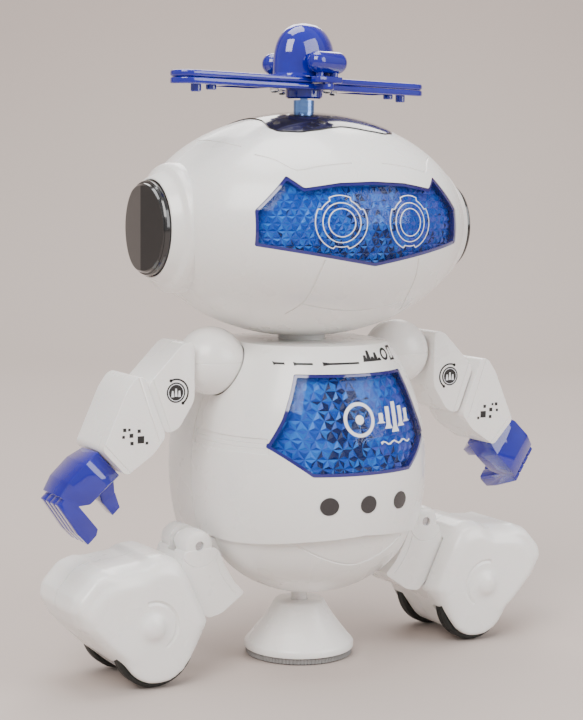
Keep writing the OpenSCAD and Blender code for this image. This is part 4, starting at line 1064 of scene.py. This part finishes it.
def boot():
    heel = arc(WHEEL[0], WHEEL[1], 12.4, 0, 345, 23)
    heel_rim = spread(heel, BOOT_Y0 + 1.2, BOOT_Y1 - 1.2)
    ankle = hulled(spread(ANKLE, BOOT_Y0 + 6.5, BOOT_Y1 - 6.5) + spread(ANKLE, BOOT_Y0 + 2.2,
                                                                        BOOT_Y1 - 2.2, (62.5, 22),
                                                                        0.92)
                   + spread(ANKLE, BOOT_Y0 + 0.2, BOOT_Y1 - 0.2, (62.5, 22), 0.76) + heel_rim)
    toe = hulled(spread(TOE, BOOT_Y0 + 7, BOOT_Y1 - 7) + spread(TOE, BOOT_Y0 + 2.6, BOOT_Y1 - 2.6,
                                                                (73, 22), 0.91)
                 + spread(TOE, BOOT_Y0 + 0.3, BOOT_Y1 - 0.3, (71, 20), 0.72))
    carve(ankle, toe, "UNION")
    cap_outline = [(72, 38.6), (80, 40.0), (84.6, 38.4), (90.6, 31.8), (91.5, 27.5), (88, 23),
                   (80, 25), (73, 32)]
    cap = hulled(spread(cap_outline, BOOT_Y0 + 5.5, BOOT_Y1 - 5.5) + spread(cap_outline,
                                                                            BOOT_Y0 + 1.4, BOOT_Y1 - 1.4, (80, 28), 0.86))
    carve(ankle, cap, "UNION")
    boss = egg_solid(Egg((65, BOOT_Y0 + 0.6, 20.5), (4.4, 2.4, 4.4)), 0, 32)
    carve(ankle, boss, "UNION")
    body = melt(ankle, 0.8, 12)
    for s in (-1, 1):
        y = -2 + s * 12.5
        carve(body, turned([(0, y - 3.1), (14.6, y - 3.1), (14.6, y + 3.1), (0, y + 3.1)],
                           (62.5, 0, 14), (0, 1, 0), 72))
    carve(body, slab(inset(THIGH, -0.5), -12.5, 8.5, 2.4, 2.5, 4))
    grooves = [cord_tool([(x, y, z) for x, z in path], r) for y in (BOOT_Y0 - 0.15,
                                                                    BOOT_Y1 + 0.15) for path, r in
               ((arc(65, 20.5, 8.2, 75, 235, 24), 0.95),
                ([(68.5, 5.0), (68.2, 9.6), (62.0, 10.4)], 0.4))]
    carve(body, together(grooves), crossing=True)
    carve(body, hulled(block((30, -2.12, -5), (110, -1.88, 60))))
    return body


def half_of(ob, low, high):
    half = bpy.data.objects.new("half", ob.data.copy())
    scene.collection.objects.link(half)
    return carve(half, hulled(block(low, high)))


def tyre(y):
    w = 2.5
    line = [(3.2, y - 2.1), (9.6, y - 2.1), (10.2, y - w), (13.2, y - w), (13.8, y - 1.9)]
    for k in (-1.2, -0.4, 0.4, 1.2):
        line += [(14.0, y + k - 0.28), (14.0, y + k + 0.28), (13.65, y + k + 0.34),
                 (13.65, y + k + 0.46)]
    line = line[:-2] + [(13.8, y + 1.9), (13.2, y + w), (10.2, y + w), (9.6, y + 2.1),
                        (3.2, y + 2.1), (1.55, y + 2.4),
                        (1.55, y - 2.4), (3.2, y - 2.1)]
    return turned(line, (62.5, 0, 14), (0, 1, 0), 96)


def leg(side):
    word = "right" if side < 0 else "left"
    mirror = MIRROR if side < 0 else Matrix.Identity(4)
    thigh = slab(THIGH, -12, 8, 2.0, 3.0, 5)
    knuckle = turned([(0, -11.9), (3.6, -11.9), (4.7, -11.4), (5.15, -10.3), (5.15, 6.3),
                      (4.7, 7.4), (3.6, 7.9), (0, 7.9)],
                     (44.6, 0, 43.4), (0, 1, 0), 64)
    carve(thigh, knuckle, "UNION")
    slot = [(x, y, z) for y in (-4.4, 0.4) for x, z in
            [(HIP_X + 6.2 * math.cos(t * DEG), HIP_Z + 6.2 * math.sin(t * DEG)) for t in range(0,
                                                                                               360, 15)]
            + [(20, 49.6), (20, 37.2), (28, 32), (27, 33)]]
    carve(thigh, hulled(slot))
    carve(thigh, turned([(0, -13), (1.62, -13), (1.62, 9), (0, 9)], (44.6, 0, 43.4), (0, 1, 0), 32))
    face_lines(thigh, [flow([(38.6, 38.8), (36.6, 33.2), (33.2, 28.2), (31.4, 26.2)]),
                       arc(HIP_X, HIP_Z, 7.0, 185, 330, 20)], -12, 8, 0.22)
    finish_piece(placed(thigh, mirror), "thigh_shell_" + word, "leg_" + word, "white_shell",
                 ["thigh_" + word])

    body = boot()
    front = half_of(body, (0, -2, -20), (120, 60, 90))
    rear = half_of(body, (0, -60, -20), (120, -2, 90))
    bpy.data.objects.remove(body)
    finish_piece(placed(front, mirror), "boot_front_half_" + word, "leg_" + word, "white_shell",
                 ["boot_front_" + word], sharp=38)
    finish_piece(placed(rear, mirror), "boot_rear_half_" + word, "leg_" + word, "white_shell",
                 ["boot_rear_" + word], sharp=38)
    wheels = together([tyre(-14.5), tyre(10.5)])
    finish_piece(placed(wheels, mirror), "tyres_" + word, "rollers_" + word, "wheel_rubber",
                 ["wheels_" + word])


# ---------------------------------------------------------------- stand
def stand():
    cone = turned([(3.0, 1.7), (18.2, 1.7), (18.85, 2.1), (18.9, 2.6), (18.9, 3.9), (18.5, 4.5),
                   (17.6, 5.4), (14.8, 8.9),
                   (11.6, 13.2), (9.6, 16.4), (8.9, 17.7), (8.3, 18.4), (3.0, 18.4), (3.0, 1.7)],
                  (0, 0, 0), (0, 0, 1), 120)
    finish_piece(cone, "stand_cone", "stand", "white_shell", ["base_cone"], sharp=50)


# ---------------------------------------------------------------- the rest of the frame
KEPT = {"belly_studs": "black_gloss", "drive_shaft": "white_shell", "neck_post": "white_shell"}


def paint_kept_nodes():
    """Nodes that are shown as they are take the finish of their slot."""
    slots = {p["node"]: p["material_slot"] for p in frame["record"]["subparts"]}
    for name, ob in frame["nodes"].items():
        finish = KEPT.get(name, slots.get(name, "grey_plastic"))
        ob.data.materials.clear()
        ob.data.materials.append(FINISH[finish])


# ---------------------------------------------------------------- set, light and camera
def studio():
    floor_bm = bmesh.new()
    bend = 0.35
    profile = [(-3.0, 0.0),
               (0.9, 0.0)] + [(0.9 + bend * math.sin(t * DEG),
                               bend * (1 - math.cos(t * DEG))) for t in range(6, 91, 6)] \
        + [(0.9 + bend, 3.0)]
    turn = Matrix.Rotation(-29.86 * DEG, 3, "Z")
    rows = [[floor_bm.verts.new(turn @ Vector((x, y, z - 0.0004))) for x in (-4, 4)] for y,
            z in profile]
    for a, b in zip(rows, rows[1:]):
        floor_bm.faces.new((a[0], a[1], b[1], b[0]))
    backdrop = lump(floor_bm)
    backdrop.name = "backdrop"
    backdrop.data.shade_smooth()
    paper = Finish("backdrop_paper", Roughness=0.9)
    paper.feed("Base Color",
               paper.blend(paper.noise(3, 2), rgba(0.485, 0.415, 0.38), rgba(0.505, 0.435, 0.40)))
    backdrop.data.materials.append(paper.material)

    world = bpy.data.worlds.new("studio")
    scene.world = world
    world.use_nodes = True
    world.node_tree.nodes["Background"].inputs["Color"].default_value = rgba(0.95, 0.94, 0.93)
    world.node_tree.nodes["Background"].inputs["Strength"].default_value = 0.62

    for name, place, size, power, colour in (
            ("key_softbox", (-0.95, -0.75, 1.15), 0.9, 25, (1, 0.985, 0.96)),
            ("fill_softbox", (0.75, -1.0, 0.65), 0.9, 11, (0.97, 0.98, 1)),
            ("top_softbox", (0.0, 0.1, 1.3), 0.8, 12, (1, 1, 1)),
            ("back_softbox", (0.5, 0.9, 0.9), 0.7, 7, (1, 0.99, 0.97))):
        light = bpy.data.lights.new(name, "AREA")
        light.shape, light.size, light.energy, light.color = "SQUARE", size, power, colour
        ob = bpy.data.objects.new(name, light)
        scene.collection.objects.link(ob)
        ob.location = place
        ob.rotation_euler = (Vector((0, 0, 0.11)) - ob.location).to_track_quat("-Z", "Y").to_euler()

    camera = bpy.data.cameras.new("camera")
    camera.sensor_fit, camera.sensor_height, camera.lens = "VERTICAL", 36, 86.7
    camera.dof.use_dof = False
    ob = bpy.data.objects.new("camera", camera)
    scene.collection.objects.link(ob)
    spot, aim = Vector((-0.2962, -0.5091, 0.1646)), Vector((-0.00293, 0.00168, 0.1014))
    ob.matrix_world = (Matrix.Translation(spot) @ (aim - spot).to_track_quat("-Z",
                                                                             "Y").to_matrix().to_4x4()
                       @ Matrix.Rotation(0.52 * DEG, 4, "Z"))
    scene.camera = ob


head_shell()
crown()
ears()
lens_set("visor", VISOR, HEAD, 2.5, 0.5, visor_painted_light, 2.6, "head")
eyes()
torso_shells()
lens_set("chest", LENS_CHEST, CHEST, 2.4, 0.4, chest_painted_light, 3.4, "torso")
battery_cover()
torso_marks()
pelvis()
rotor()
for side in (-1, 1):
    arm(side)
    leg(side)
stand()
paint_kept_nodes()
studio()
